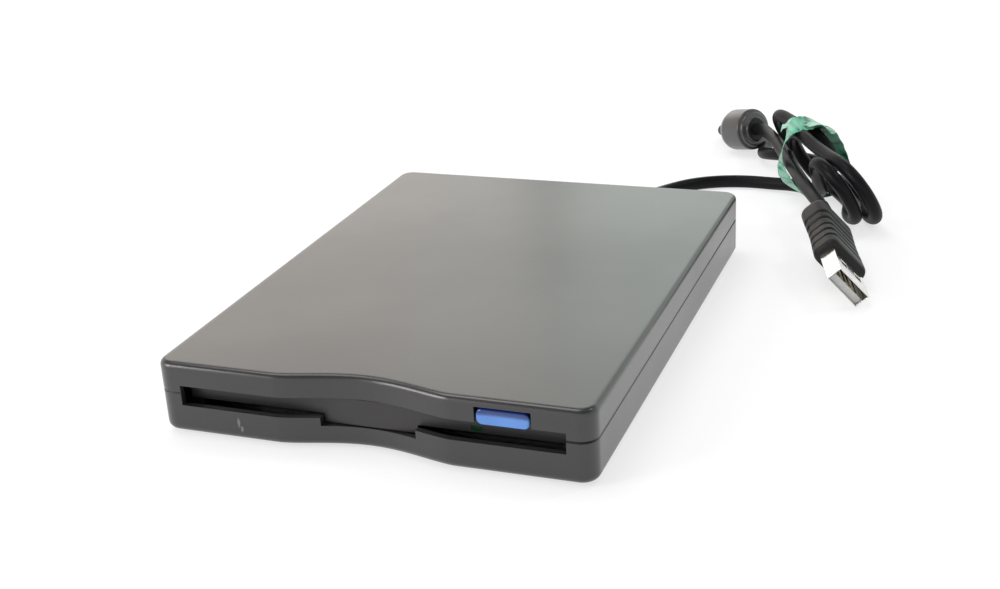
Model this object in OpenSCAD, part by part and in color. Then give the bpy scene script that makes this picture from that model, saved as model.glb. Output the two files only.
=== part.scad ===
// Slim external 3.5 inch floppy disk drive with a captive cable.
// Origin: centre of the footprint, on the surface that the feet stand on.
// +X is to the right of the slot, -Y is the front, +Z is up.

/* [Case] */
// Width of the case
case_w = 104; // [103:0.5:112]
// Depth of the case, front to back
case_d = 142; // [141:0.5:150]
// Height of the case without its feet
case_h = 17.3; // [17:0.1:20]
// Wall thickness of both mouldings
wall = 1.6; // [1.2:0.1:1.8]
// Height of the parting line above the case bottom
parting_h = 10; // [9.6:0.1:10.4]
// Plan radius of the case corners
corner_r = 4; // [2.5:0.5:5]
// Radius rolled over the top edge
top_edge_r = 1.5; // [0.8:0.1:1.6]
// Radius rolled under the bottom edge
bottom_edge_r = 1.8; // [0.8:0.1:2]
// Chamfer that makes the shadow line at the parting
seam_chamfer = 0.3; // [0.2:0.1:0.5]
// Depth of the finger scoop in the front
scoop_depth = 3.7; // [2:0.1:4]
// Width of the finger scoop
scoop_w = 42; // [34:1:46]
// Offset of the scoop from the middle
scoop_x = -1; // [-3:0.5:2]

/* [Slot and flap] */
// Width of the disk slot
slot_w = 91.6; // [91.2:0.1:92]
// Height of the disk slot
slot_h = 4.8; // [4.6:0.1:5]
// Width of the finger notch in the sill
notch_w = 23; // [16:1:26]
// Depth of the finger notch
notch_depth = 2; // [1:0.1:2.2]
// Offset of the notch from the middle
notch_x = -0.5; // [-2:0.5:3]
// Thickness of the dust flap
flap_t = 1.2; // [0.8:0.1:1.4]
// Clearance all round the flap
flap_gap = 0.25; // [0.2:0.05:0.4]
// Diameter of the flap pins
flap_pin_d = 1.6; // [1.2:0.1:1.8]
// Width of the indicator window in the flap
window_w = 2.6; // [1.6:0.1:3]

/* [Eject button] */
// Width of the button face
button_w = 12; // [9:0.5:13]
// Height of the button face
button_h = 3.8; // [3.4:0.1:4.4]
// Distance of the button from the middle of the case
button_x = 32; // [28:0.5:33]
// Gap round the button
button_gap = 0.3; // [0.2:0.05:0.5]
// How far the button comes out once a disk is in
eject_travel = 5.5; // [4:0.1:5.6]
// How far the disk carrier sinks at the same time
carrier_drop = 2; // [1.5:0.1:2.1]

/* [Disk] */
// Width of the disk cartridge
disk_w = 90; // [89.8:0.1:90.2]
// Length of the disk cartridge
disk_l = 94; // [93.8:0.1:94.2]
// Thickness of the disk cartridge
disk_t = 3.3; // [3.2:0.1:3.4]

/* [Mechanism] */
// Sheet thickness of the frame
frame_t = 0.8; // [0.6:0.1:0.8]
// Sheet thickness of the carrier
carrier_t = 0.5; // [0.4:0.1:0.6]
// Sheet thickness of the eject slide
slide_t = 0.6; // [0.5:0.1:0.6]
// Diameter of the carrier guide pins
guide_pin_d = 1.6; // [1.2:0.1:1.8]
// Radial running clearance of pins and shafts
run_gap = 0.05; // [0.03:0.01:0.08]
// Diameter of the spindle shaft
spindle_d = 3; // [2:0.1:4]
// Diameter of the rotor
rotor_d = 40; // [34:1:40]
// Diameter of the disk hub plate
hub_d = 22; // [18:1:24]
// Diameter of the lead screw
screw_d = 3; // [2.4:0.1:3.2]
// Thread pitch of the lead screw
screw_pitch = 3; // [2:0.5:4]
// Travel of the heads across the tracks
head_travel = 14.8; // [12:0.1:14.8]
// Diameter of the stepping motor
stepper_d = 10; // [8:0.5:10]
// Diameter of the carriage rod
rod_d = 2; // [1.6:0.1:2.2]

/* [Cable] */
// Diameter of the cable
cable_d = 4; // [3.6:0.1:4]
// Diameter of the moulded bead on the cable
bead_d = 14; // [12:0.5:15]
// Length of the moulded bead
bead_l = 13; // [11:0.5:14]
// Spacing of the runs in the tied hank
hank_pitch = 4.7; // [4.6:0.1:4.8]
// Radius of the hank's folds
hank_fold_r = 10.5; // [10:0.1:11]
// Width of the plug's metal shell
plug_w = 12; // [11.8:0.1:12.2]
// Thickness of the plug's metal shell
plug_t = 4.5; // [4.4:0.1:4.6]
// Length of the plug's metal shell outside its grip
plug_l = 12; // [11.5:0.1:12.5]

/* [Feet and screws] */
// Diameter of the rubber feet
foot_d = 8; // [6:0.5:9]
// How far the feet stand out of the case
foot_h = 0.8; // [0.6:0.1:1]
// Shank diameter of the case screws
case_screw_d = 2; // [1.6:0.1:2.2]

/* [Hidden] */
$fn = 48;

eps = 0.01;
seat = 0.3;
base_z = foot_h;
parting_z = base_z + parting_h;
top_z = base_z + case_h;
floor_z = base_z + wall;
ceiling_z = top_z - wall;
front_y = -case_d / 2;
rear_y = case_d / 2;
inner_x = case_w / 2 - wall;
rear_inner_y = rear_y - wall;
scoop_floor_y = front_y + scoop_depth;
scoop_power = 1.4;

// Slot and flap
slot_top_z = parting_z + 1.8;
sill_z = slot_top_z - slot_h;
flap_front_y = scoop_floor_y + 0.3;
flap_back_y = flap_front_y + flap_t;
window_x = button_x - button_w / 2 - 2.8;
window_z = sill_z + 0.6;
window_h = 1.4;
hinge_y = flap_front_y + flap_t - 0.2;
hinge_z = slot_top_z + 0.6;
flap_ear_w = 1.6;
flap_end_x = slot_w / 2 - flap_gap;
hinge_block_x = slot_w / 2 + 0.1;
hinge_block_w = 1.6;

// Disk path
disk_up_z = sill_z + 0.5;
carrier_in_w = disk_w + 0.8;
carrier_in_h = disk_t + 0.5;
carrier_floor_z = disk_up_z - 0.1;
carrier_roof_z = carrier_floor_z + carrier_in_h;
carrier_top_z = carrier_roof_z + carrier_t;
carrier_w = carrier_in_w + 2 * carrier_t;
carrier_front_y = flap_back_y + 9.8;
disk_front_y = flap_back_y + 0.5;
hub_to_disk_rear = 46;
spindle_y = disk_front_y + disk_l - hub_to_disk_rear;
carrier_rear_y = disk_front_y + disk_l + 0.1;
rail_lip = 4.6;
pin_z = carrier_floor_z + 2;
pin_ys = [carrier_front_y + 12, carrier_rear_y - 9];
arm_window_w = 22;
arm_window_y = spindle_y + 12;

// Eject slide
slide_web_z = carrier_top_z + 1.3;
slide_x = carrier_w / 2 + 0.3;
slide_out_x = slide_x + slide_t;
slide_front_y = carrier_front_y + 6;
slide_rear_y = carrier_rear_y + 16.5;
side_slot_y = [22, 56];
slope_angle = atan(carrier_drop / eject_travel);
slope_run = norm([carrier_drop, eject_travel]);
slot_r = guide_pin_d / 2 + run_gap;
stem_w = 8;
button_z = slide_web_z + slide_t / 2;
button_l = 3.4;
spring_x = 36;
spring_z = 9;
spring_hook_y = slide_rear_y - 12;
spring_r = 1.2;
spring_wire = 0.4;

// Frame
frame_x = slide_out_x + 0.4;
frame_out_x = frame_x + frame_t;
frame_floor_z = floor_z + 0.6;
frame_top_z = frame_floor_z + frame_t;
frame_front_y = carrier_front_y - 0.5;
frame_rear_y = rear_inner_y - 9.4;
lid_z = slide_web_z + slide_t + 0.8;
lid_t = 0.6;
screw_post_r = 2.2;
case_screw_at = [
    [frame_out_x + 0.3, front_y + 10.6], [-frame_out_x - 0.3, front_y + 10.6],
    [inner_x - 4.4, rear_inner_y - 4.8], [-inner_x + 4.4, rear_inner_y - 4.8]
];
frame_screw_at = [[40, frame_front_y + 5], [-40, frame_front_y + 5], [36, frame_rear_y - 3], [-36, frame_rear_y - 3]];
frame_screw_d = 1.6;
foot_at = [for (sx = [-1, 1]) for (sy = [-1, 1]) [sx * (case_w / 2 - 12), sy * (case_d / 2 - 15)]];

// Spindle
board_t = 0.6;
stator_z = frame_top_z;
coil_z = stator_z + board_t;
coil_h = 0.9;
rotor_z = coil_z + coil_h + seat;
rotor_t = 0.6;
rotor_top_z = rotor_z + rotor_t;
hub_top_z = rotor_top_z + 0.5;
bearing_r = spindle_d / 2 + 1.6;
pole_n = 12;
pole_w = 6.2;
pole_in_r = bearing_r + 7.5;
pole_out_r = rotor_d / 2 - 1.8;
pole_cut = [3.4, 2, 0.4];
rotor_rim = 0.6;
rotor_hole_r = 1.6;
rotor_hole_at = rotor_d / 2 - 5;
hub_pin_r = 0.8;
hub_pin_h = 1.4;
hub_pin_x = 7.5;

// Heads
head_y = spindle_y + 39.5;
head_up_z = disk_up_z - 0.5;
tongue_z = frame_top_z + 0.4;
tongue_t = 1.6;
tongue_front_y = head_y - 2.7;
block_front_y = carrier_rear_y + head_travel + 5;
block_l = 5.5;
arm_pivot_y = block_front_y + block_l / 2;
arm_pivot_z = slide_web_z - 1.6;
arm_pivot_r = 0.7;
bar_x = 10;
bar_z = frame_top_z + 2.4;
bar_post_y = carrier_rear_y + 1;
screw_x = -16;
screw_z = frame_top_z + stepper_d / 2 + 0.2;
stepper_l = 9.6;
stepper_y = frame_rear_y - frame_t - stepper_l;
screw_front_y = carrier_rear_y + 2;
nut_y = block_front_y - 0.9;

// Boards
board_x0 = 18;
stator_tab = [board_x0 + 14, 8, 12];
board_x1 = 45;
board_y0 = spindle_y + 24;
board_y1 = frame_rear_y - 5;
main_board_z = frame_top_z + 0.3;
main_board_t = 0.8;
chip_h = 0.9;
main_chip_at = [[26, 16, 10, 10], [37.2, 14, 6, 8], [27, 28, 6, 5], [24, 38, 8, 8], [38, 42, 5, 9]];
bridge_z = floor_z + 1.6;
bridge_t = 1;
bridge_y0 = frame_rear_y + 1.1;
bridge_y1 = rear_inner_y - 0.6;
bridge_x = [-32, 42];
bridge_hole_x = [-24, 34];

// Cable gland
gland_x = 14.5;
gland_z = parting_z - 1.4;
gland_neck_r = 3;
gland_flange_r = 4;
gland_tail = 13;
gland_end_y = rear_y + gland_tail;
gland_in_y = rear_inner_y - 1.5;
ribbon_x = 29;
ribbon_w = 10;

// Shutter lever, carried on the disk carrier
lever_x = 38;
lever_y = 2;
lever_r = 22;
lever_rest = 150;
lever_swing = 25;
lever_z = carrier_top_z + 0.25;
lever_t = 0.55;
lever_pin_r = 0.8;

// Cable route: round numbers chosen along the photographed cable
cable_r = cable_d / 2;
lead_points = [
    [14.5, 84, 9.4], [14.5, 90, 8], [14.8, 97, 5], [16.4, 105.5, 2.7], [20.5, 114, 2.1],
    [26.5, 121, 2.1], [34.6, 125.5, 2.1], [43.8, 127.2, 2.1], [52, 126, 2.3], [59, 123.8, 3]
];
hank_at = [66, 120, 0];
hank_heading = -56;
hank_lean = 60;
hank_low_z = 2.1;
tie_lift = 1.4;
tie_s = -2;
tie_r = 0.55;
near_folds = [24, 26, -6];
rear_folds = [-2, -26];
climb_end = 12;
tail_points = [
    [62.2, 136.7, 7.4], [54.2, 141.5, 7.1], [44.5, 148, 5], [43, 160, 2.3], [43.5, 170, 2.1], [42.5, 179, 2.1],
    [37.5, 186, 2.1], [29.5, 186.5, 2.1], [24.5, 180.5, 3], [25, 173.5, 5.3]
];
bead_at = [34.7, 164.8, 8.2];
bead_dir = [0.69, -0.54, 0.2];
strand_points = [[44.2, 154.2, 11], [50.4, 139.4, 12], [57, 121.6, 12.2], [66, 98.9, 11.9]];
plug_tip = [88.1, 35.3, 6];
plug_yaw = 18;
plug_pitch = 7.6;
plug_roll = -41;
grip_w = 15.5;
grip_t = 8;
grip_l = 25;
grip_neck_l = 9;
grip_round = 3;
shell_t = 0.35;

// ---- helpers ----

// Wave of the front face: a cosine dip, raised to a power that keeps a soft crease at its ends
function scoop(x) = abs(x - scoop_x) < scoop_w / 2
    ? scoop_depth * pow(cos(180 * (x - scoop_x) / scoop_w), scoop_power) : 0;

// One corner of the plan outline as an arc
function corner(cx, cy, r, a) = [for (i = [0:6]) [cx + r * cos(a + 15 * i), cy + r * sin(a + 15 * i)]];

// Plan outline of the case, drawn in by "inset"
function outline(inset) =
    let (x = case_w / 2 - corner_r, y = case_d / 2 - corner_r, r = corner_r - inset, n = 24)
    concat(
        corner(-x, -y, r, 180),
        [for (i = [0:n]) let (px = scoop_x - scoop_w / 2 + scoop_w * i / n)
            [px, front_y + inset + scoop(px)]],
        corner(x, -y, r, 270),
        corner(x, y, r, 0),
        corner(-x, y, r, 90)
    );

// Closed solid swept through outlines, each row [inset, z]: from the first cap, along the wall, to the last cap
module outline_stack(rows) {
    n = len(outline(0));
    points = [for (row = rows) for (p = outline(row[0])) [p.x, p.y, row[1]]];
    faces = concat(
        [[for (i = [0:n - 1]) n - 1 - i]],
        [[for (i = [0:n - 1]) (len(rows) - 1) * n + i]],
        [for (k = [0:len(rows) - 2]) for (i = [0:n - 1])
            let (j = (i + 1) % n) [k * n + i, k * n + j, (k + 1) * n + j]],
        [for (k = [0:len(rows) - 2]) for (i = [0:n - 1])
            let (j = (i + 1) % n) [k * n + i, (k + 1) * n + j, (k + 1) * n + i]]
    );
    polyhedron(points, [for (f = faces) [for (i = [len(f) - 1:-1:0]) f[i]]]);
}

// Box from its low corner to its high corner
module block(low, high) {
    translate(low) cube(high - low);
}

// Cylinder along X from x0 to x1
module rod_x(x0, x1, y, z, r) {
    translate([x0, y, z]) rotate([0, 90, 0]) cylinder(r = r, h = x1 - x0);
}

// Cylinder along Y from y0 to y1
module rod_y(y0, y1, x, z, r) {
    translate([x, y1, z]) rotate([90, 0, 0]) cylinder(r = r, h = y1 - y0);
}

function unit(v) = v / norm(v);

// Smooth curve through the points (Catmull-Rom), "steps" samples a span, then the last point
function smooth(p, steps) = let (n = len(p), q = concat([2 * p[0] - p[1]], p, [2 * p[n - 1] - p[n - 2]])) concat(
    [for (i = [1:n - 1]) for (k = [0:steps - 1]) let (t = k / steps)
        0.5 * (2 * q[i] + t * (q[i + 1] - q[i - 1])
            + t * t * (2 * q[i - 1] - 5 * q[i] + 4 * q[i + 1] - q[i + 2])
            + t * t * t * (3 * q[i] - q[i - 1] - 3 * q[i + 1] + q[i + 2]))],
    [p[n - 1]]);

// Direction of a path at point i
function heading(p, i) = unit(p[min(i + 1, len(p) - 1)] - p[max(i - 1, 0)]);

// Tube of radius r along a path; "side" is never parallel to the path
module tube(p, r, sides, side) {
    n = len(p);
    rings = [for (i = [0:n - 1])
        let (t = heading(p, i), b = unit(cross(t, side)), c = cross(b, t))
        for (k = [0:sides - 1]) p[i] + r * (cos(360 * k / sides) * b + sin(360 * k / sides) * c)];
    faces = concat(
        [[for (k = [0:sides - 1]) k]],
        [[for (k = [0:sides - 1]) n * sides - 1 - k]],
        [for (i = [0:n - 2]) for (k = [0:sides - 1]) let (m = (k + 1) % sides)
            [i * sides + k, (i + 1) * sides + k, (i + 1) * sides + m]],
        [for (i = [0:n - 2]) for (k = [0:sides - 1]) let (m = (k + 1) % sides)
            [i * sides + k, (i + 1) * sides + m, i * sides + m]]
    );
    polyhedron(rings, [for (f = faces) [for (i = [len(f) - 1:-1:0]) f[i]]]);
}

// Closed tube through points that lie in the plane square to "side"
module loop(p, r, sides, side) {
    n = len(p);
    rings = [for (i = [0:n - 1])
        let (t = unit(p[(i + 1) % n] - p[(i + n - 1) % n]), b = unit(cross(t, side)), c = cross(b, t))
        for (k = [0:sides - 1]) p[i] + r * (cos(360 * k / sides) * b + sin(360 * k / sides) * c)];
    faces = [for (i = [0:n - 1]) for (k = [0:sides - 1]) for (h = [0, 1])
        let (j = (i + 1) % n, m = (k + 1) % sides)
        h == 0 ? [i * sides + k, j * sides + m, j * sides + k] : [i * sides + k, i * sides + m, j * sides + m]];
    polyhedron(rings, faces);
}

// Length along a path up to point i
function path_at(p, i) = i == 0 ? 0 : path_at(p, i - 1) + norm(p[i] - p[i - 1]);

// Least distance between the surfaces of a tube's own turns
function least_gap(p, r) =
    let (s = [for (i = [0:len(p) - 1]) path_at(p, i)])
    min([for (i = [0:len(p) - 1]) for (j = [i + 1:1:len(p) - 1])
        if (s[j] - s[i] > 8 * r) norm(p[j] - p[i]) - 2 * r]);

// ---- case ----

module slot_cut() {
    block([-slot_w / 2, front_y - 4, sill_z], [slot_w / 2, carrier_front_y - 3, slot_top_z]);
    block([notch_x - notch_w / 2, front_y - 4, sill_z - notch_depth],
        [notch_x + notch_w / 2, carrier_front_y - 3, slot_top_z]);
}

module gland_hole() {
    rod_y(rear_inner_y - 1, rear_y + 1, gland_x, gland_z, gland_neck_r + 0.05);
}

module bottom_cover() {
    color("#3c3b3d") difference() {
        union() {
            outline_stack([
                [bottom_edge_r, base_z], [bottom_edge_r * 0.62, base_z + bottom_edge_r * 0.08],
                [bottom_edge_r * 0.29, base_z + bottom_edge_r * 0.29],
                [bottom_edge_r * 0.08, base_z + bottom_edge_r * 0.62], [0, base_z + bottom_edge_r],
                [0, parting_z - seam_chamfer], [seam_chamfer, parting_z], [wall, parting_z], [wall, floor_z]
            ]);
            for (p = case_screw_at)
                translate([p.x, p.y, floor_z - eps]) cylinder(r = screw_post_r, h = parting_z - floor_z + eps);
            for (p = frame_screw_at)
                translate([p.x, p.y, floor_z - eps]) cylinder(r = 2.4, h = frame_floor_z - floor_z + eps);
            for (x = bridge_hole_x)
                translate([x, bridge_y0 + 4, floor_z - eps]) cylinder(r = 2, h = bridge_z - floor_z + eps);
        }
        slot_cut();
        gland_hole();
        for (p = case_screw_at) {
            translate([p.x, p.y, base_z - 1]) cylinder(r = case_screw_d / 2 + run_gap, h = case_h);
            translate([p.x, p.y, base_z - 1]) cylinder(r = case_screw_d, h = 2.2);
        }
        for (p = frame_screw_at)
            translate([p.x, p.y, base_z + 0.5]) cylinder(r = frame_screw_d / 2 + run_gap, h = 6);
        for (p = foot_at)
            translate([p.x, p.y, base_z - 1]) cylinder(r = foot_d / 2 + 0.1, h = 1.4);
    }
}

module top_cover() {
    color("#454446") difference() {
        union() {
            outline_stack([
                [wall, ceiling_z], [wall, parting_z], [seam_chamfer, parting_z], [0, parting_z + seam_chamfer],
                [0, top_z - top_edge_r], [top_edge_r * 0.08, top_z - top_edge_r * 0.62],
                [top_edge_r * 0.29, top_z - top_edge_r * 0.29],
                [top_edge_r * 0.62, top_z - top_edge_r * 0.08], [top_edge_r, top_z]
            ]);
            for (p = case_screw_at)
                translate([p.x, p.y, parting_z]) cylinder(r = screw_post_r, h = ceiling_z - parting_z + eps);
            for (s = [-1, 1])
                block([min(s * hinge_block_x, s * (hinge_block_x + hinge_block_w)), front_y + wall - eps, parting_z + 0.6],
                    [max(s * hinge_block_x, s * (hinge_block_x + hinge_block_w)), hinge_y + 2, ceiling_z - 0.7]);
        }
        slot_cut();
        gland_hole();
        block([button_x - button_w / 2 - button_gap, front_y - 1, button_z - button_h / 2 - button_gap],
            [button_x + button_w / 2 + button_gap, front_y + button_l + 1, button_z + button_h / 2 + button_gap]);
        for (p = case_screw_at)
            translate([p.x, p.y, parting_z - 1]) cylinder(r = case_screw_d / 2 + run_gap, h = 5.2);
        for (s = [0, 1]) mirror([s, 0, 0])
            rod_x(hinge_block_x - 1, hinge_block_x + hinge_block_w + 1, hinge_y, hinge_z, flap_pin_d / 2 + run_gap);
    }
}

module rubber_feet() {
    color("#1d1d1f") for (p = foot_at) translate([p.x, p.y, 0]) {
        cylinder(r1 = foot_d / 2 - 0.3, r2 = foot_d / 2, h = 0.3);
        translate([0, 0, 0.3]) cylinder(r = foot_d / 2, h = base_z + 0.1);
    }
}

module case_screws() {
    color("#6d6e70") for (p = case_screw_at) translate([p.x, p.y, base_z + 0.3]) difference() {
        union() {
            cylinder(r = case_screw_d - 0.1, h = 0.9);
            cylinder(r = case_screw_d / 2, h = parting_z + 4 - base_z - 0.3);
        }
        for (a = [0, 90]) rotate([0, 0, a]) translate([-1.1, -0.2, -1]) cube([2.2, 0.4, 1.4]);
    }
}

// ---- flap ----

module slot_flap() {
    color("#2c2b2e") difference() {
        union() {
            block([-flap_end_x, flap_front_y, sill_z + flap_gap], [flap_end_x, flap_back_y, slot_top_z - 0.2]);
            block([notch_x - notch_w / 2 + flap_gap, flap_front_y, sill_z - notch_depth + flap_gap],
                [notch_x + notch_w / 2 - flap_gap, flap_back_y, sill_z + flap_gap + eps]);
            for (s = [0, 1]) mirror([s, 0, 0]) {
                rod_x(flap_end_x - flap_ear_w, flap_end_x, hinge_y, hinge_z, 0.9);
                block([flap_end_x - flap_ear_w, hinge_y - 0.9, slot_top_z - 0.6],
                    [flap_end_x, flap_back_y, hinge_z]);
                rod_x(flap_end_x - 0.4, inner_x - 0.4, hinge_y, hinge_z, flap_pin_d / 2);
            }
        }
        indicator_block(1);
    }
}

module indicator_block(grow) {
    block([window_x, flap_front_y - grow, window_z], [window_x + window_w, flap_back_y + grow, window_z + window_h]);
}

module indicator_window() {
    color("#2f6a44") indicator_block(0);
}

module flap_spring() {
    turns = 4;
    n = 8 * turns;
    r = flap_pin_d / 2 + 0.45;
    x0 = hinge_block_x + hinge_block_w + 0.4;
    color("#9a9a9c") tube(
        [for (i = [0:n]) [x0 + 1.8 * i / n, hinge_y + r * sin(360 * turns * i / n), hinge_z - r * cos(360 * turns * i / n)]],
        0.15, 6, [1, 0, 0]);
}

// ---- eject parts ----

module eject_button() {
    r = 1.4;
    w = button_w / 2 - r;
    h = button_h / 2 - r;
    color("#3f6fc4") difference() {
        translate([button_x, front_y, button_z]) hull() {
            for (sx = [-1, 1]) for (sz = [-1, 1]) {
                translate([sx * w, button_l, sz * h]) rotate([90, 0, 0]) cylinder(r = r, h = button_l - 0.8, $fn = 24);
                translate([sx * w, 0.8, sz * h]) rotate([90, 0, 0]) cylinder(r1 = r, r2 = r - 0.5, h = 0.8, $fn = 24);
            }
        }
        block([button_x - stem_w / 2, front_y + 1.6, slide_web_z], [button_x + stem_w / 2, front_y + 5, slide_web_z + slide_t]);
    }
}

// Sloped slot in a slide rail that drives one carrier pin down
module drive_slot(y) {
    translate([0, y, pin_z]) {
        rod_x(-1, 1, 0, 0, slot_r);
        rod_x(-1, 1, eject_travel, -carrier_drop, slot_r);
        rotate([-slope_angle, 0, 0]) block([-1, 0, -slot_r], [1, slope_run, slot_r]);
    }
}

module eject_slide() {
    rail_low = frame_top_z + seat;
    color("#a9abad") difference() {
        union() {
            for (s = [0, 1]) mirror([s, 0, 0]) {
                block([slide_x, slide_front_y, rail_low], [slide_out_x, slide_rear_y, slide_web_z + slide_t]);
                block([arm_window_w / 2, slide_front_y, slide_web_z], [slide_out_x, slide_rear_y, slide_web_z + slide_t]);
                block([spring_x - 3, slide_rear_y - slide_t, spring_z - 1], [slide_out_x, slide_rear_y, slide_web_z + eps]);
            }
            block([-slide_out_x, slide_front_y, slide_web_z], [slide_out_x, arm_window_y, slide_web_z + slide_t]);
            block([button_x - stem_w / 2, front_y + 1.6, slide_web_z], [button_x + stem_w / 2, slide_front_y + eps, slide_web_z + slide_t]);
        }
        for (y = pin_ys) for (s = [-1, 1]) translate([s * (slide_x + slide_out_x) / 2, 0, 0]) drive_slot(y);
        for (s = [-1, 1]) rod_y(slide_rear_y - slide_t - 1, slide_rear_y + 1, s * spring_x, spring_z, spring_r + 0.7);
        block([lever_x - 7, lever_y - 7 , slide_web_z - 1], [lever_x + 7, lever_y + 14, slide_web_z + 2]);
        for (s = [-1, 1]) block([s * 26 - 9, slide_front_y + 12, slide_web_z - 1], [s * 26 + 9, slide_front_y + 30, slide_web_z + 2]);
        for (s = [-1, 1]) block([s * (slide_x + slide_t / 2) - 1, slide_front_y + side_slot_y[0], rail_low + 5],
            [s * (slide_x + slide_t / 2) + 1, slide_front_y + side_slot_y[1], slide_web_z - 2]);
    }
}

module slide_springs() {
    turns = 10;
    n = 6 * turns;
    y0 = spring_hook_y + 0.5;
    y1 = slide_rear_y - 0.2;
    color("#b9babc") for (s = [-1, 1]) tube(
        [for (i = [0:n]) [s * spring_x + spring_r * cos(360 * turns * i / n), y0 + (y1 - y0) * i / n,
            spring_z + spring_r * sin(360 * turns * i / n)]],
        spring_wire / 2, 5, [0, 1, 0]);
}

// ---- disk carrier ----

module disk_carrier() {
    x_in = carrier_in_w / 2;
    x_out = carrier_w / 2;
    color("#bcbdbf") difference() {
        union() {
            block([-x_out, carrier_front_y, carrier_roof_z], [x_out, carrier_rear_y, carrier_top_z]);
            for (s = [0, 1]) mirror([s, 0, 0]) {
                block([x_in, carrier_front_y, carrier_floor_z - carrier_t], [x_out, carrier_rear_y, carrier_top_z]);
                block([x_in - rail_lip, carrier_front_y, carrier_floor_z - carrier_t], [x_out, carrier_rear_y, carrier_floor_z]);
            }
        }
        block([-arm_window_w / 2, arm_window_y, carrier_roof_z - 1], [arm_window_w / 2, carrier_rear_y + 1, carrier_top_z + 1]);
        block([-14, carrier_front_y - 1, carrier_roof_z - 1], [14, carrier_front_y + 9, carrier_top_z + 1]);
        translate([0, spindle_y, carrier_roof_z - 1]) cylinder(r = 9, h = 3);
        translate([lever_x, lever_y, carrier_roof_z - 1]) {
            rotate([0, 0, lever_rest - lever_swing - 3]) rotate_extrude(angle = lever_swing + 6)
                translate([lever_r - 1.2, 0]) square([2.4, 3]);
            cylinder(r = 0.8 + run_gap, h = 3);
        }
        for (y = pin_ys) rod_x(-x_out - 1, x_out + 1, y, pin_z, guide_pin_d / 2 - eps);
    }
}

module carrier_pins() {
    x0 = carrier_in_w / 2;
    color("#d0d1d3") for (y = pin_ys) for (s = [0, 1]) mirror([s, 0, 0])
        rod_x(x0, frame_out_x - 0.1, y, pin_z, guide_pin_d / 2 - eps);
}

module shutter_lever() {
    color("#8e9093") translate([lever_x, lever_y, 0]) rotate([0, 0, lever_rest]) difference() {
        union() {
            translate([0, 0, lever_z]) cylinder(r = 2.6, h = lever_t);
            block([0, -1.6, lever_z], [lever_r, 1.6, lever_z + lever_t]);
            translate([lever_r, 0, lever_z]) cylinder(r = 1.6, h = lever_t);
            translate([lever_r, 0, carrier_floor_z + 0.6]) cylinder(r = lever_pin_r, h = lever_z - carrier_floor_z);
        }
        translate([0, 0, lever_z - 1]) cylinder(r = 0.8 + run_gap, h = 3);
    }
}

module lever_pivot() {
    color("#c4c5c7") translate([lever_x, lever_y, 0]) {
        translate([0, 0, carrier_roof_z]) cylinder(r = 0.8, h = lever_z + lever_t + 1.6 - carrier_roof_z);
        translate([0, 0, lever_z + lever_t + 0.5]) cylinder(r = 1.3, h = 0.3);
    }
}

module lever_spring() {
    turns = 3;
    n = 10 * turns;
    z0 = lever_z + lever_t + 1.05;
    color("#9a9a9c") translate([lever_x, lever_y, 0]) tube(
        [for (i = [0:n]) [1.15 * cos(360 * turns * i / n), 1.15 * sin(360 * turns * i / n), z0 + 0.5 * i / n]],
        0.08, 5, [0, 0, 1]);
}

// ---- frame ----

module mechanism_frame() {
    color("#b4b6b9") difference() {
        union() {
            block([-frame_out_x, frame_front_y, frame_floor_z], [frame_out_x, frame_rear_y, frame_top_z]);
            for (s = [0, 1]) mirror([s, 0, 0])
                block([frame_x, frame_front_y, frame_floor_z], [frame_out_x, frame_rear_y, lid_z]);
            block([-frame_out_x, frame_rear_y - frame_t, frame_floor_z], [frame_out_x, frame_rear_y, lid_z]);
            block([bar_x - 2, bar_post_y, frame_top_z - eps], [bar_x + 2, bar_post_y + 1.5, bar_z + 2]);
            block([screw_x - 2.5, bar_post_y, frame_top_z - eps], [screw_x + 2.5, bar_post_y + 1, screw_z + 2]);
            for (s = [-1, 1])
                block([s * spring_x - 1, spring_hook_y, frame_top_z - eps], [s * spring_x + 1, spring_hook_y + 0.5, spring_z + spring_r]);
        }
        for (y = pin_ys) hull() {
            rod_x(-frame_out_x - 1, frame_out_x + 1, y, pin_z, slot_r);
            rod_x(-frame_out_x - 1, frame_out_x + 1, y, pin_z - carrier_drop, slot_r);
        }
        for (p = frame_screw_at)
            translate([p.x, p.y, frame_floor_z - 1]) cylinder(r = frame_screw_d / 2 + run_gap, h = 3);
        translate([0, spindle_y, frame_floor_z - 1]) cylinder(r = bearing_r, h = 3);
        rod_y(bar_post_y - 1, frame_rear_y + 1, bar_x, bar_z, rod_d / 2);
        rod_y(bar_post_y - 1, bar_post_y + 3, screw_x, screw_z, 0.8 + run_gap);
        for (x = [-30, 30]) block([x - 8, spindle_y - 16, frame_floor_z - 1], [x + 8, spindle_y - 6, frame_top_z + 1]);
        block([-34, head_y - 8, frame_floor_z - 1], [-22, head_y + 14, frame_top_z + 1]);
        block([ribbon_x - ribbon_w / 2 - 1, frame_rear_y - 2, frame_top_z + 1],
            [ribbon_x + ribbon_w / 2 + 1, frame_rear_y + 1, frame_top_z + 6]);
    }
}

module frame_screws() {
    color("#8b8c8f") for (p = frame_screw_at) translate([p.x, p.y, base_z + 0.5]) difference() {
        union() {
            cylinder(r = frame_screw_d / 2, h = frame_top_z - base_z - 0.5 + eps);
            translate([0, 0, frame_top_z - base_z - 0.5]) cylinder(r = frame_screw_d, h = 0.8);
        }
        for (a = [0, 90]) rotate([0, 0, a])
            translate([-0.9, -0.18, frame_top_z - base_z - 0.1]) cube([1.8, 0.36, 1]);
    }
}

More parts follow.
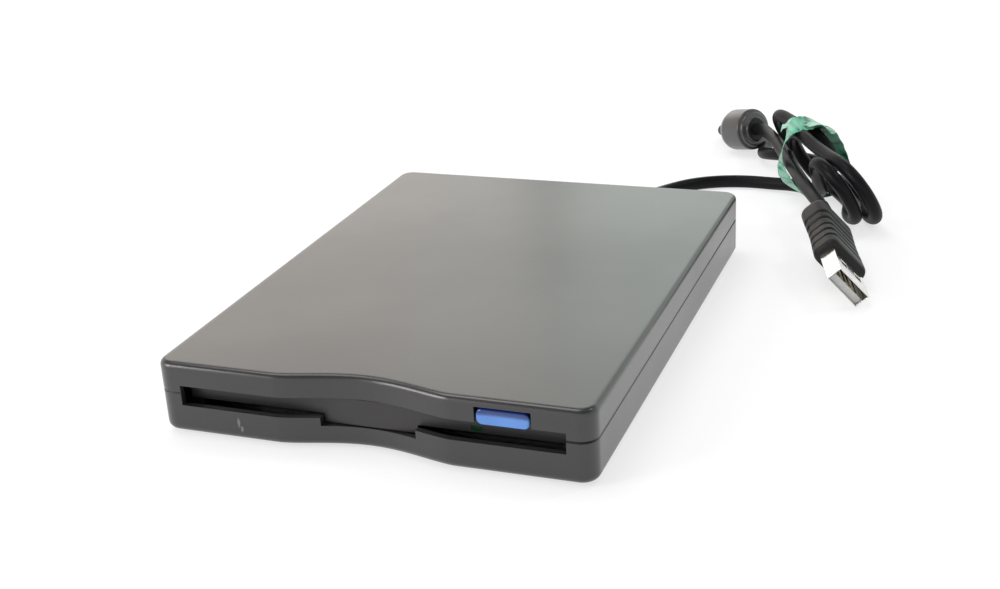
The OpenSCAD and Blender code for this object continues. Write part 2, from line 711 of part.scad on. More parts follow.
module mechanism_lid() {
    color("#aeb0b3") difference() {
        block([-frame_out_x, frame_front_y + 2, lid_z], [frame_out_x, frame_rear_y, lid_z + lid_t]);
        block([-11, head_y - 20, lid_z - 1], [11, frame_rear_y - 14, lid_z + 2]);
        translate([0, spindle_y, lid_z - 1]) cylinder(r = 13, h = 3);
        for (s = [-1, 1]) block([s * 32 - 7, -2, lid_z - 1], [s * 32 + 7, 22, lid_z + 2]);
    }
}

// ---- spindle ----

module stator_board() {
    color("#3c6b46") difference() {
        union() {
            translate([0, spindle_y, stator_z]) cylinder(r = rotor_d / 2 + 0.5, h = board_t);
            block([0, spindle_y - stator_tab[1], stator_z], [stator_tab[0], spindle_y + stator_tab[2], stator_z + board_t]);
        }
        translate([0, spindle_y, stator_z - 1]) cylinder(r = bearing_r, h = 3);
    }
}

module stator_coils() {
    mid_r = (pole_in_r + pole_out_r) / 2 - 0.1;
    color("#b87333") translate([0, spindle_y, coil_z])
        for (i = [0:pole_n - 1]) rotate([0, 0, 360 * (i + 0.5) / pole_n]) difference() {
            translate([pole_in_r, -pole_w / 2, 0]) cube([pole_out_r - pole_in_r, pole_w, coil_h]);
            for (s = [-1, 1]) translate([pole_in_r, s * pole_w / 2, -1])
                rotate([0, 0, s * -14]) translate([-2, s > 0 ? 0 : -4, 0]) cube([6, 4, 3]);
            translate([mid_r - pole_cut.x / 2, -pole_cut.y / 2, coil_h - pole_cut.z]) cube([pole_cut.x, pole_cut.y, 1]);
        }
}

module spindle_bearing() {
    color("#b39a5c") translate([0, spindle_y, 0]) difference() {
        union() {
            translate([0, 0, frame_floor_z]) cylinder(r = bearing_r, h = coil_z + coil_h - frame_floor_z);
            translate([0, 0, coil_z]) cylinder(r = bearing_r + 1.2, h = coil_h * 0.5);
        }
        translate([0, 0, frame_floor_z - 1]) cylinder(r = spindle_d / 2 + run_gap, h = 6);
    }
}

module spindle_shaft() {
    color("#d8d9db") translate([0, spindle_y, frame_floor_z - 0.2]) {
        cylinder(r = spindle_d / 2, h = hub_top_z - frame_floor_z + 0.8);
        translate([0, 0, hub_top_z - frame_floor_z + 0.8]) cylinder(r1 = spindle_d / 2, r2 = spindle_d / 2 - 0.4, h = 0.4);
    }
}

module rotor() {
    color("#77797c") translate([0, spindle_y, 0]) difference() {
        union() {
            translate([0, 0, rotor_z]) cylinder(r = rotor_d / 2, h = rotor_t);
            translate([0, 0, coil_z + seat]) cylinder(r = rotor_d / 2, h = rotor_z - coil_z - seat + eps);
        }
        translate([0, 0, coil_z]) cylinder(r = rotor_d / 2 - rotor_rim, h = rotor_z - coil_z);
        translate([0, 0, rotor_z - 1]) cylinder(r = spindle_d / 2, h = 3);
        for (a = [0:60:300]) rotate([0, 0, a + 30]) translate([rotor_hole_at, 0, rotor_z - 1]) cylinder(r = rotor_hole_r, h = 3);
    }
}

module hub_plate() {
    color("#c9cacc") translate([0, spindle_y, rotor_top_z]) difference() {
        union() {
            cylinder(r = hub_d / 2, h = hub_top_z - rotor_top_z);
            translate([hub_pin_x, 0, 0]) cylinder(r = hub_pin_r, h = hub_pin_h);
        }
        translate([0, 0, -1]) cylinder(r = spindle_d / 2, h = 3);
    }
}

// ---- heads ----

module stepper_motor() {
    color("#8d8f92") difference() {
        union() {
            rod_y(stepper_y, stepper_y + stepper_l, screw_x, screw_z, stepper_d / 2);
            block([screw_x - stepper_d / 2, stepper_y + 0.8, frame_top_z + 0.2],
                [screw_x + stepper_d / 2, stepper_y + stepper_l - 0.8, screw_z]);
        }
        rod_y(stepper_y - 1, stepper_y + 3.2, screw_x, screw_z, 0.8 + run_gap);
        for (i = [1:3]) difference() {
            rod_y(stepper_y + stepper_l * i / 4 - 0.2, stepper_y + stepper_l * i / 4 + 0.2, screw_x, screw_z, stepper_d);
            rod_y(stepper_y, stepper_y + stepper_l, screw_x, screw_z, stepper_d / 2 - 0.3);
            block([screw_x - 9, stepper_y, frame_floor_z], [screw_x + 9, stepper_y + stepper_l, screw_z]);
        }
    }
}

module lead_screw() {
    n = floor((stepper_y - 0.6 - screw_front_y) / screw_pitch);
    y0 = bar_post_y + 1.2;
    color("#d2d3d5") union() {
        difference() {
            rod_y(y0, stepper_y - 0.3, screw_x, screw_z, screw_d / 2);
            for (i = [0:n - 1]) translate([screw_x, y0 + 1.4 + i * screw_pitch, screw_z]) rotate([-90, 0, 0])
                rotate_extrude() polygon([
                    [screw_d / 2 - 0.35, 0.3], [screw_d / 2 + 0.1, -0.1], [screw_d / 2 + 0.1, 0.9], [screw_d / 2 - 0.35, 0.5]
                ]);
        }
        rod_y(bar_post_y, y0 + eps, screw_x, screw_z, 0.8);
        rod_y(stepper_y - 0.3 - eps, stepper_y + 3, screw_x, screw_z, 0.8);
    }
}

module carriage_rod() {
    color("#d8d9db") rod_y(bar_post_y, frame_rear_y + 0.3, bar_x, bar_z, rod_d / 2);
}

module head_carriage() {
    y1 = block_front_y + block_l;
    color("#2f2f33") difference() {
        union() {
            block([-8, block_front_y, tongue_z], [8, y1, arm_pivot_z - 1.6]);
            for (s = [0, 1]) mirror([s, 0, 0])
                block([5.4, block_front_y, tongue_z], [8, y1, arm_pivot_z + 1.2]);
            block([-6, tongue_front_y, tongue_z], [6, block_front_y + eps, tongue_z + tongue_t]);
            for (s = [-1, 1])
                block([s * 5 - 0.5, tongue_front_y + 8, tongue_z + tongue_t - eps], [s * 5 + 0.5, block_front_y + eps, tongue_z + tongue_t + 0.9]);
            block([8 - eps, bar_post_y + 1.8 + head_travel, tongue_z], [bar_x + 2, y1, bar_z + 2]);
            block([6, bar_post_y + 1.8 + head_travel, tongue_z], [8, block_front_y + eps, bar_z + 2]);
            block([screw_x + screw_d / 2 + 0.1, nut_y - 1, screw_z - 0.8], [-8 + eps, nut_y + 0.8, screw_z + 0.8]);
            block([-8, nut_y - 1, tongue_z], [-6, block_front_y + eps, screw_z + 0.8]);
        }
        rod_y(bar_post_y, y1 + 1, bar_x, bar_z, rod_d / 2 + run_gap);
        rod_x(-9, 9, arm_pivot_y, arm_pivot_z, arm_pivot_r);
        block([-4, tongue_front_y + 10, tongue_z - 1], [4, tongue_front_y + 22, tongue_z + tongue_t + 1]);
    }
}

module lower_head() {
    color("#d9d4c6") translate([0, head_y, tongue_z + tongue_t]) {
        translate([-3.2, -2.4, 0]) cube([6.4, 4.8, 1]);
        translate([-2.2, -1.5, 1 - eps]) cube([4.4, 3, head_up_z - tongue_z - tongue_t - 1]);
    }
}

module upper_arm() {
    arm_top = arm_pivot_z + 1.4;
    color("#8f9194") difference() {
        union() {
            block([-5, tongue_front_y, arm_top - 0.8], [5, arm_pivot_y, arm_top]);
            rod_x(-5.2, 5.2, arm_pivot_y, arm_pivot_z, 1.4);
            for (s = [-1, 1])
                block([s * 4.6 - 0.4, tongue_front_y + 6, arm_top - eps], [s * 4.6 + 0.4, arm_pivot_y - 2, arm_top + 0.8]);
        }
        rod_x(-6, 6, arm_pivot_y, arm_pivot_z, arm_pivot_r + run_gap);
        block([-2.6, tongue_front_y + 9, arm_top - 2], [2.6, tongue_front_y + 19, arm_top + 1]);
    }
}

module upper_head() {
    color("#d9d4c6") translate([0, head_y, arm_pivot_z + 0.6]) {
        translate([-3.2, -2.4, -0.4]) cube([6.4, 4.8, 0.4]);
        translate([-2.2, -1.5, -0.7]) cube([4.4, 3, 0.3 + eps]);
    }
}

module arm_pivot() {
    color("#c4c5c7") rod_x(-8, 8, arm_pivot_y, arm_pivot_z, arm_pivot_r);
}

// ---- boards ----

module main_board() {
    color("#35603f") difference() {
        block([board_x0, board_y0, main_board_z], [board_x1, board_y1, main_board_z + main_board_t]);
        block([spring_x - 2, spring_hook_y - 1, main_board_z - 1], [spring_x + 2, spring_hook_y + 1.5, main_board_z + 2]);
        for (p = [[board_x0 + 2.5, board_y0 + 2.5], [board_x1 - 2.5, board_y1 - 2.5]])
            translate([p.x, p.y, main_board_z - 1]) cylinder(r = 1.1, h = 3);
    }
}

module main_chips() {
    z = main_board_z + main_board_t;
    color("#222326") {
        for (p = main_chip_at) translate([p[0] - p[2] / 2, p[1] - p[3] / 2, z]) cube([p[2], p[3], chip_h]);
        block([ribbon_x - ribbon_w / 2 - 1, board_y1 - 5, z], [ribbon_x + ribbon_w / 2 + 1, board_y1 - 2, z + 1.6]);
    }
}

module bridge_board() {
    color("#35603f") difference() {
        block([bridge_x[0], bridge_y0, bridge_z], [bridge_x[1], bridge_y1, bridge_z + bridge_t]);
        for (x = bridge_hole_x) translate([x, bridge_y0 + 4, bridge_z - 1]) cylinder(r = 1, h = 3);
    }
}

module bridge_chips() {
    z = bridge_z + bridge_t;
    color("#222326") {
        for (p = [[-14, 3.8, 6, 5], [0, 4, 4, 4], [-4.6, 3, 2, 3]])
            translate([p[0] - p[2] / 2, bridge_y0 + p[1] - p[3] / 2, z]) cube([p[2], p[3], 1]);
        block([ribbon_x - ribbon_w / 2 - 1, bridge_y0 + 1.6, z], [ribbon_x + ribbon_w / 2 + 1, bridge_y0 + 4.2, z + 1.6]);
        block([gland_x - 4, bridge_y0 + 0.9, z], [gland_x + 4, bridge_y0 + 4.9, z + 3.4]);
    }
}

module ribbon_cable() {
    z = main_board_z + main_board_t + 1.6;
    z1 = bridge_z + bridge_t + 1.6;
    y0 = board_y1 - 3.5;
    y1 = bridge_y0 + 3;
    t = 0.4;
    color("#cfc9b8") translate([ribbon_x + ribbon_w / 2, 0, 0]) rotate([90, 0, -90]) linear_extrude(ribbon_w) polygon([
        [-y0, z], [-y0 - 0.5, z], [-y0 - 2, z + 0.8], [-frame_rear_y + frame_t + 1, z + 1.2], [-frame_rear_y - 0.6, z + 1.2],
        [-y1 + 1, z1 + 0.8], [-y1 + 0.3, z1], [-y1, z1], [-y1 - 0.5, z1], [-y1 + 0.8, z1 + 1 + t],
        [-frame_rear_y - 0.6, z + 1.2 + t], [-frame_rear_y + frame_t + 1, z + 1.2 + t], [-y0 - 2, z + 0.8 + t], [-y0, z + t]
    ]);
}

module indicator_lamp() {
    x = window_x + 0.2;
    color("#7fbf8a") translate([x, frame_front_y + 0.5, frame_top_z]) {
        cube([2.4, 3, 1.4]);
        translate([1.2, 1.2, 1.4 - eps]) cylinder(r = 0.9, h = 0.6);
    }
}

module cable_wires() {
    color("#7a3030") for (i = [0:3])
        rod_y(bridge_y0 + 4.9, gland_in_y, gland_x - 2.4 + 1.6 * i, bridge_z + 3.2, 0.45);
}

// ---- cable ----

module cable_gland() {
    color("#1b1b1d") translate([gland_x, 0, gland_z]) rotate([-90, 0, 0]) rotate_extrude() polygon([
        [0, gland_in_y], [gland_flange_r, gland_in_y], [gland_flange_r, rear_inner_y - 0.1],
        [gland_neck_r, rear_inner_y - 0.1], [gland_neck_r, rear_y + 0.1], [gland_flange_r + 0.4, rear_y + 0.1],
        [gland_flange_r + 0.4, rear_y + 1.4], [gland_flange_r - 0.2, rear_y + 1.8],
        [3.5, rear_y + 3.4], [3.1, rear_y + 3.6], [3.05, rear_y + 4.4], [3.4, rear_y + 4.6],
        [3.2, rear_y + 6.2], [2.8, rear_y + 6.4], [2.75, rear_y + 7.2], [3.1, rear_y + 7.4],
        [2.9, rear_y + 9], [2.5, rear_y + 9.2], [2.45, rear_y + 10], [2.7, rear_y + 10.2],
        [cable_r + 0.2, gland_end_y], [0, gland_end_y]
    ]);
}

// Frame of the leaning hank: u along it, v across the floor, e up its lean
hank_u = [cos(hank_heading), sin(hank_heading), 0];
hank_v = [-hank_u.y, hank_u.x, 0];
hank_e = [-cos(hank_lean) * hank_v.x, -cos(hank_lean) * hank_v.y, sin(hank_lean)];
hank_side = [sin(hank_lean) * hank_v.x, sin(hank_lean) * hank_v.y, cos(hank_lean)];
hank_h = 2 * hank_fold_r;
hank_c = hank_pitch / sin(hank_lean);
hank_exit = 4.8 / sin(hank_lean);

function hank_point(s, c, h) =
    hank_at + hank_u * s + hank_v * c + hank_e * h + [0, 0, hank_low_z + tie_lift * exp(-s * s / 100)];
function ease(t) = t * t * (3 - 2 * t);
function hank_run(s0, s1, c0, c1, h0, h1, n) = [for (i = [0:n - 1]) let (t = i / n)
    hank_point(s0 + (s1 - s0) * t, c0 + (c1 - c0) * ease(t), h0 + (h1 - h0) * ease(t))];
function hank_fold(s, c, h0, h1, way) = [for (i = [0:5]) let (a = 30 * i, r = (h1 - h0) / 2)
    hank_point(s + way * abs(r) * sin(a), c, h0 + r * (1 - cos(a)))];

hank_path = concat(
    [hank_point(-2, 0, 0)],
    hank_run(2, near_folds[0], 0, 0, 0, hank_h, 5), hank_fold(near_folds[0], 0, hank_h, 0, 1),
    hank_run(near_folds[0], climb_end, 0, hank_c, 0, 0, 3), hank_run(climb_end, rear_folds[0], hank_c, hank_c, 0, 0, 3),
    hank_fold(rear_folds[0], hank_c, 0, hank_h, -1),
    hank_run(rear_folds[0], near_folds[1], hank_c, hank_c, hank_h, hank_h, 5), hank_fold(near_folds[1], hank_c, hank_h, 0, 1),
    hank_run(near_folds[1], climb_end, hank_c, 2 * hank_c, 0, 0, 3),
    hank_run(climb_end, rear_folds[1], 2 * hank_c, 2 * hank_c, 0, 0, 6),
    hank_fold(rear_folds[1], 2 * hank_c, 0, hank_h, -1),
    hank_run(rear_folds[1], near_folds[2], 2 * hank_c, 2 * hank_c, hank_h, hank_h, 4),
    hank_fold(near_folds[2], 2 * hank_c, hank_h, hank_exit, 1),
    [hank_point(near_folds[2], 2 * hank_c, hank_exit), hank_point(near_folds[2], 2 * hank_c, hank_exit) - cable_d * hank_u]
);
hank_in = hank_path[0];
hank_out = hank_path[len(hank_path) - 1];

module cord_hank() {
    color("#161617") tube(hank_path, cable_r, 6, hank_side);
}

lead_path = concat([lead_points[0]],
    smooth(concat([lead_points[0] + [0, cable_d / 2, 0]], [for (i = [1:len(lead_points) - 1]) lead_points[i]],
        [hank_in - cable_d * hank_u]), 3), [hank_in]);

module cord_lead() {
    color("#161617") tube(lead_path, cable_r, 8, [0, 0, 1]);
}

bead_axis = unit(bead_dir);
bead_far = bead_at - bead_axis * bead_l / 2;
bead_near = bead_at + bead_axis * bead_l / 2;
tail_path = concat([hank_out], smooth(concat([hank_out - 2 * hank_u], tail_points, [bead_far - 2 * bead_axis]), 3), [bead_far]);

module cord_tail() {
    color("#161617") tube(tail_path, cable_r, 8, [0, 0, 1]);
}

plug_back = plug_l + grip_l + grip_neck_l;
plug_axis = [sin(plug_yaw) * cos(plug_pitch), -cos(plug_yaw) * cos(plug_pitch), -sin(plug_pitch)];
plug_rear = plug_tip - plug_back * plug_axis;
strand_path = concat([bead_near], smooth(concat([bead_near + 3 * bead_axis], strand_points,
    [plug_rear - 3 * plug_axis]), 3), [plug_rear]);

module cord_strand() {
    color("#161617") tube(strand_path, cable_r, 8, [0, 0, 1]);
}

module ferrite_bead() {
    r = bead_d / 2;
    color("#232325") translate(bead_far) rotate([0, 0, atan2(bead_axis.y, bead_axis.x)])
        rotate([0, 90 - asin(bead_axis.z), 0]) rotate_extrude($fn = 40) polygon([
            [0, 0], [r - 1.6, 0], [r - 0.5, 0.5], [r, 1.6], [r, bead_l - 2.6], [r - 0.9, bead_l - 2.4],
            [r - 0.9, bead_l - 1.3], [r - 2.2, bead_l - 1.2], [r - 2.2, bead_l - 0.5], [r - 3.6, bead_l - 0.4],
            [r - 3.8, bead_l], [0, bead_l]
        ]);
}

// Green tie round every run of the hank
module cord_tie() {
    color("#9bb8a0") loop([for (p = [
        [-1, 0.6], [6, 0.6], [12.2, 0.6], [14.2, 2.2], [14.4, 4.6], [12.2, 9.6], [8.4, 15.4], [4.4, 21.2],
        [1.6, 24.2], [-2, 25], [-5.6, 24.9], [-8, 23], [-9.4, 19.4], [-10.5, 15.2], [-10.3, 10.4], [-7.8, 5.8], [-3.9, 2.2]
    ]) hank_at + hank_u * tie_s + hank_v * p.x + [0, 0, p.y]], tie_r, 8, hank_u);
}

// Puts a piece of the plug, drawn from its tip along +Y, where the plug lies
module plug_place() {
    translate(plug_tip) rotate([0, 0, plug_yaw]) rotate([plug_pitch, 0, 0]) rotate([0, plug_roll, 0]) children();
}

module plug_grip() {
    x = grip_t / 2 - grip_round;
    z = grip_w / 2 - grip_round;
    color("#1e1e20") plug_place() difference() {
        union() {
            hull() for (sx = [-1, 1]) for (sz = [-1, 1]) {
                translate([sx * x, plug_l, sz * z]) rotate([-90, 0, 0]) cylinder(r = grip_round - 0.4, h = grip_l, $fn = 20);
                translate([sx * x, plug_l + 0.6, sz * z]) rotate([-90, 0, 0]) cylinder(r = grip_round, h = grip_l - 3, $fn = 20);
            }
            translate([0, plug_l + grip_l - eps, 0]) rotate([-90, 0, 0]) cylinder(r1 = 3.4, r2 = cable_r + 0.5, h = grip_neck_l + eps);
        }
        for (i = [0:4]) for (s = [-1, 1]) translate([-grip_t, plug_l + 4 + 3.4 * i, s * (grip_w / 2 + 0.6)])
            translate([0, 0, -1]) cube([2 * grip_t, 1.2, 2]);
        for (i = [0:1]) translate([0, plug_l + grip_l + 2.6 + 2.6 * i, 0]) rotate([-90, 0, 0]) difference() {
            cylinder(r = 5, h = 1);
            translate([0, 0, -1]) cylinder(r = 2.4, h = 3);
        }
    }
}

module plug_shell() {
    t = shell_t;
    color("#c9cacc") plug_place() difference() {
        translate([-plug_t / 2, 0, -plug_w / 2]) cube([plug_t, plug_l, plug_w]);
        translate([-plug_t / 2 + t, -1, -plug_w / 2 + t]) cube([plug_t - 2 * t, plug_l + 2, plug_w - 2 * t]);
        for (s = [-1, 1]) translate([-plug_t, plug_l - 7, s * 2.9 - 1.2]) cube([2 * plug_t, 2.4, 2.4]);
    }
}

module plug_tongue() {
    t = shell_t;
    color("#e4e4e0") plug_place() {
        translate([-plug_t / 2 + t, 1, -plug_w / 2 + t]) cube([1.9, plug_l - 1, plug_w - 2 * t]);
    }
}

echo(hank_gap = least_gap(hank_path, cable_r));
echo(cord_length = path_at(lead_path, len(lead_path) - 1) + path_at(hank_path, len(hank_path) - 1)
    + path_at(tail_path, len(tail_path) - 1) + path_at(strand_path, len(strand_path) - 1));

bottom_cover();
top_cover();
rubber_feet();
case_screws();
mechanism_frame();
frame_screws();
mechanism_lid();
slot_flap();
indicator_window();
flap_spring();
eject_button();
eject_slide();
slide_springs();
disk_carrier();
carrier_pins();
shutter_lever();
lever_pivot();
lever_spring();
stator_board();
stator_coils();
spindle_bearing();
spindle_shaft();
rotor();
hub_plate();
stepper_motor();
lead_screw();
carriage_rod();
head_carriage();
lower_head();
upper_arm();
upper_head();
arm_pivot();
main_board();
main_chips();
bridge_board();
bridge_chips();
ribbon_cable();
indicator_lamp();
cable_wires();
cable_gland();
cord_lead();
cord_hank();
cord_tail();
cord_strand();
ferrite_bead();
cord_tie();
plug_grip();
plug_shell();
plug_tongue();
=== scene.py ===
"""A slim external floppy disk drive with its cable tied in a hank.

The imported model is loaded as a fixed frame. Each operator adds or finishes one group of pieces.
"""

import math

import bmesh
import bpy
import numpy as np
from mathutils import Matrix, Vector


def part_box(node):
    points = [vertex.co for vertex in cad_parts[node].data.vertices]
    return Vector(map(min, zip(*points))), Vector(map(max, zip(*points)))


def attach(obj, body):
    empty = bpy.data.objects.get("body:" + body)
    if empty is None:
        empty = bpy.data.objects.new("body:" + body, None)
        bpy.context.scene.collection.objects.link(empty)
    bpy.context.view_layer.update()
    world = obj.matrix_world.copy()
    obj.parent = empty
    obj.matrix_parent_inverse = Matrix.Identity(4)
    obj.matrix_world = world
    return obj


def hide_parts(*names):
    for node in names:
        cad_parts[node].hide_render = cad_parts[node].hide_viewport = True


bl_info = {
    "name": "Slim floppy disk drive",
    "version": (1, 0, 0),
    "blender": (4, 5, 0),
    "location": "View3D > Sidebar > Floppy Drive",
    "description": "Dresses the drive, its mechanism, its tied cable and its plug",
    "category": "Object",
}

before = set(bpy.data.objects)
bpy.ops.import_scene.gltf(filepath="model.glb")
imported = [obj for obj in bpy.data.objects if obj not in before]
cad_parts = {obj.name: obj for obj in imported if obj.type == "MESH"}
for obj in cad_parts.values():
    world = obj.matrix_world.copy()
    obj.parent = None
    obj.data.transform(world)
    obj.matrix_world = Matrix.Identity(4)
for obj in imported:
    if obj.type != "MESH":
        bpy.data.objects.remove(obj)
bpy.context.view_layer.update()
MM = 0.001
UP = np.array([0.0, 0.0, 1.0])


# ---- sizes and colours ----

def length(name, text, value):
    """One length in metres for the panel."""
    return bpy.props.FloatProperty(
        name=name, description=text, default=value, min=0.0, unit="LENGTH", precision=5
    )


def colour(name, text, value):
    """One linear colour for the panel."""
    return bpy.props.FloatVectorProperty(
        name=name, description=text, default=value, size=3, min=0.0, max=1.0, subtype="COLOR"
    )


class DriveCaseSizes(bpy.types.PropertyGroup):
    """The two case mouldings and what shows in their front."""

    width: length("Width", "Width of the case", 104 * MM)
    depth: length("Depth", "Depth of the case", 142 * MM)
    base: length("Base height", "Height of the case bottom over the desk", 0.8 * MM)
    parting: length("Parting height", "Height of the parting line", 10.8 * MM)
    top: length("Top height", "Height of the case top", 18.1 * MM)
    wall: length("Wall", "Wall of both mouldings", 1.6 * MM)
    corner: length("Corner radius", "Plan radius of the corners", 4 * MM)
    top_roll: length("Top edge radius", "Radius rolled over the top edge", 1.5 * MM)
    base_roll: length("Bottom edge radius", "Radius rolled under the bottom edge", 1.8 * MM)
    seam: length("Seam chamfer", "Chamfer on each side of the parting line", 0.3 * MM)
    scoop_depth: length("Scoop depth", "Depth of the finger scoop", 3.7 * MM)
    scoop_width: length("Scoop width", "Width of the finger scoop", 42 * MM)
    edge_break: length("Edge break", "Small radius on the cut edges", 0.16 * MM)


class DriveCableSizes(bpy.types.PropertyGroup):
    """The cable, its hank, tie and bead."""

    diameter: length("Diameter", "Diameter of the cable", 4 * MM)
    bead: length("Bead diameter", "Diameter of the moulded bead", 14 * MM)
    bead_length: length("Bead length", "Length of the moulded bead", 13 * MM)
    fold: length("Fold radius", "Radius of the folds of the hank", 10.5 * MM)
    pitch: length("Run spacing", "Spacing of the runs of the hank", 4.7 * MM)
    tie_width: length("Tie width", "Width of the flat twist tie", 4.7 * MM)


class DriveFinishes(bpy.types.PropertyGroup):
    """Colours of the finishes, linear."""

    case: colour("Case", "Charcoal of the mouldings", (0.0255, 0.023, 0.0245))
    flap: colour("Flap", "Dust flap", (0.020, 0.017, 0.018))
    button: colour("Button", "Eject button", (0.11, 0.29, 0.80))
    window: colour("Window", "Light guide in the flap", (0.008, 0.055, 0.022))
    cable: colour("Cable", "Cable jacket", (0.0085, 0.008, 0.0095))
    moulding: colour("Cable mouldings", "Plug grip, bead and gland", (0.017, 0.016, 0.016))
    tie: colour("Tie", "Green twist tie", (0.10, 0.52, 0.32))
    plated: colour("Plated sheet", "Zinc-plated steel", (0.50, 0.51, 0.52))
    nickel: colour("Nickel", "Plug shell", (0.74, 0.73, 0.71))


SETTINGS = {"case": DriveCaseSizes, "cable": DriveCableSizes, "finish": DriveFinishes}


def setting(kind):
    """The scene's PropertyGroup for one kind of piece."""
    return getattr(bpy.context.scene, "drive_" + kind)


# ---- meshes ----

def linked(name, data):
    """A new object with this data, in the scene."""
    obj = bpy.data.objects.new(name, data)
    bpy.context.scene.collection.objects.link(obj)
    return obj


def new_piece(name, points, faces, loops_uv=None):
    """Mesh object at the origin from an array of points, a list of faces and the UVs of their corners."""
    mesh = bpy.data.meshes.new(name)
    mesh.from_pydata(np.asarray(points, float).tolist(), [], faces)
    if loops_uv is not None:
        layer = mesh.uv_layers.new(name="run")
        layer.data.foreach_set("uv", np.asarray(loops_uv, np.float32).ravel())
    mesh.update()
    return linked(name, mesh)


def grid_faces(rows, sides, closed_rows=False):
    """Quads of a grid that closes round its sides, and round its rows too where it is a ring."""
    last = rows if closed_rows else rows - 1
    i, k = np.meshgrid(np.arange(last), np.arange(sides), indexing="ij")
    j, m = (i + 1) % rows, (k + 1) % sides
    quads = np.stack([i * sides + k, i * sides + m, j * sides + m, j * sides + k], -1).reshape(-1, 4)
    return quads, i.ravel(), k.ravel()


def swept(name, grid, ring=False, along=None):
    """Skin over points [row, side, xyz], capped unless its rows close in a ring; UVs run along and round."""
    rows, sides = grid.shape[:2]
    quads, i, k = grid_faces(rows, sides, ring)
    along = np.arange(rows + 1) / rows if along is None else np.append(along, along[-1])
    corners = ((i, k), (i, k + 1), (i + 1, k + 1), (i + 1, k))
    uv = np.stack([np.stack([along[row], side / sides], -1) for row, side in corners], 1).reshape(-1, 2)
    faces = quads.tolist()
    if not ring:
        faces += [list(range(sides))[::-1], list(range((rows - 1) * sides, rows * sides))]
        uv = np.vstack([uv, np.zeros((2 * sides, 2))])
    obj = new_piece(name, grid.reshape(-1, 3), faces, uv)
    face_out(obj)
    return obj


def face_out(obj):
    """Turns a closed surface the right way: the sum of its signed corner tetrahedra is made positive."""
    mesh = obj.data
    mesh.calc_loop_triangles()
    corner = np.empty(3 * len(mesh.loop_triangles), np.int32)
    mesh.loop_triangles.foreach_get("vertices", corner)
    place = np.empty(3 * len(mesh.vertices), np.float32)
    mesh.vertices.foreach_get("co", place)
    a, b, c = place.reshape(-1, 3)[corner.reshape(-1, 3)].astype(float).transpose(1, 0, 2)
    if np.einsum("ij,ij->i", a, np.cross(b, c)).sum() < 0:
        mesh.flip_normals()


def revolved(name, profile, place, sides=72, ring=False):
    """Turns a profile of (radius, height) rows about +Z, then puts it in place with a 4x4 matrix."""
    profile = np.asarray(profile, float)
    turn = np.linspace(0, 2 * math.pi, sides, endpoint=False)
    grid = np.stack([
        profile[:, :1] * np.cos(turn), profile[:, :1] * np.sin(turn), np.repeat(profile[:, 1:], sides, 1)
    ], -1)
    return swept(name, moved(grid, place), ring=ring)


def moved(points, place):
    """Points carried by a 4x4 matrix."""
    place = np.asarray(place, float)
    return points @ place[:3, :3].T + place[:3, 3]


def unit(vectors):
    """The same directions, each of length 1 along the last axis."""
    return vectors / np.linalg.norm(vectors, axis=-1, keepdims=True)


def reach_along(path):
    """Distance along a path to each of its points."""
    return np.concatenate([[0], np.cumsum(np.linalg.norm(np.diff(path, axis=0), axis=1))])


def frame_along(origin, axis, side=(0, 0, 1)):
    """4x4 matrix at origin whose +Z runs along axis."""
    w = unit(np.asarray(axis, float))
    u = unit(np.cross(side, w))
    place = np.eye(4)
    place[:3] = np.column_stack([u, np.cross(w, u), w, origin])
    return place


def rounded(profile, radius, steps=5):
    """Profile with each inner corner replaced by a quadratic arc that starts radius away on both sides."""
    p = np.asarray(profile, float)
    here = p[1:-1]
    start, end = (
        here + (other - here) * np.minimum(radius / np.linalg.norm(other - here, axis=1), 0.45)[:, None]
        for other in (p[:-2], p[2:])
    )
    t = np.linspace(0, 1, steps)[None, :, None]
    arcs = (1 - t) ** 2 * start[:, None] + 2 * t * (1 - t) * here[:, None] + t ** 2 * end[:, None]
    return np.vstack([p[:1], arcs.reshape(-1, p.shape[1]), p[-1:]])


def section_at(y, outline):
    """An outline of (x, z) corners stood square to +Y at a depth, as [point, xyz]."""
    return np.column_stack([outline[:, 0], np.full(len(outline), y), outline[:, 1]])


def prism(name, outline, y0, y1):
    """Closed prism of an outline of (x, z) corners between two depths, used to cut."""
    return swept(name, np.stack([section_at(y, outline) for y in (y0, y1)]))


def carved(obj, cutters):
    """Takes the cutters out of a piece and keeps the result as its mesh."""
    for cutter in cutters:
        mod = obj.modifiers.new("cut", "BOOLEAN")
        mod.operation, mod.solver, mod.object = "DIFFERENCE", "EXACT", cutter
    settle(obj)
    for cutter in cutters:
        bpy.data.objects.remove(cutter, do_unlink=True)
    return obj


def settle(obj):
    """Applies a piece's modifiers."""
    bpy.context.view_layer.update()
    done = bpy.data.meshes.new_from_object(obj.evaluated_get(bpy.context.evaluated_depsgraph_get()))
    obj.modifiers.clear()
    old, obj.data = obj.data, done
    bpy.data.meshes.remove(old)
    done.name = obj.name


def node_copy(name, source, flat=0.6):
    """A merged copy of a CAD node's mesh, with its flat triangles joined into whole faces."""
    work = bmesh.new()
    work.from_mesh(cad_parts[source].data)
    bmesh.ops.remove_doubles(work, verts=work.verts, dist=2e-6)
    bmesh.ops.dissolve_limit(
        work, angle_limit=math.radians(flat), verts=work.verts, edges=work.edges,
        use_dissolve_boundaries=False
    )
    mesh = bpy.data.meshes.new(name)
    work.to_mesh(mesh)
    work.free()
    return linked(name, mesh)


def broken_edges(obj, width, angle=32, segments=2):
    """Rounds the sharp edges a little, as a tool or mould leaves them, and shades the rest smooth."""
    smooth(obj, angle)
    mod = obj.modifiers.new("edge break", "BEVEL")
    mod.width, mod.segments, mod.limit_method, mod.angle_limit = width, segments, "ANGLE", math.radians(angle)
    mod.use_clamp_overlap, mod.harden_normals = True, True
    return obj


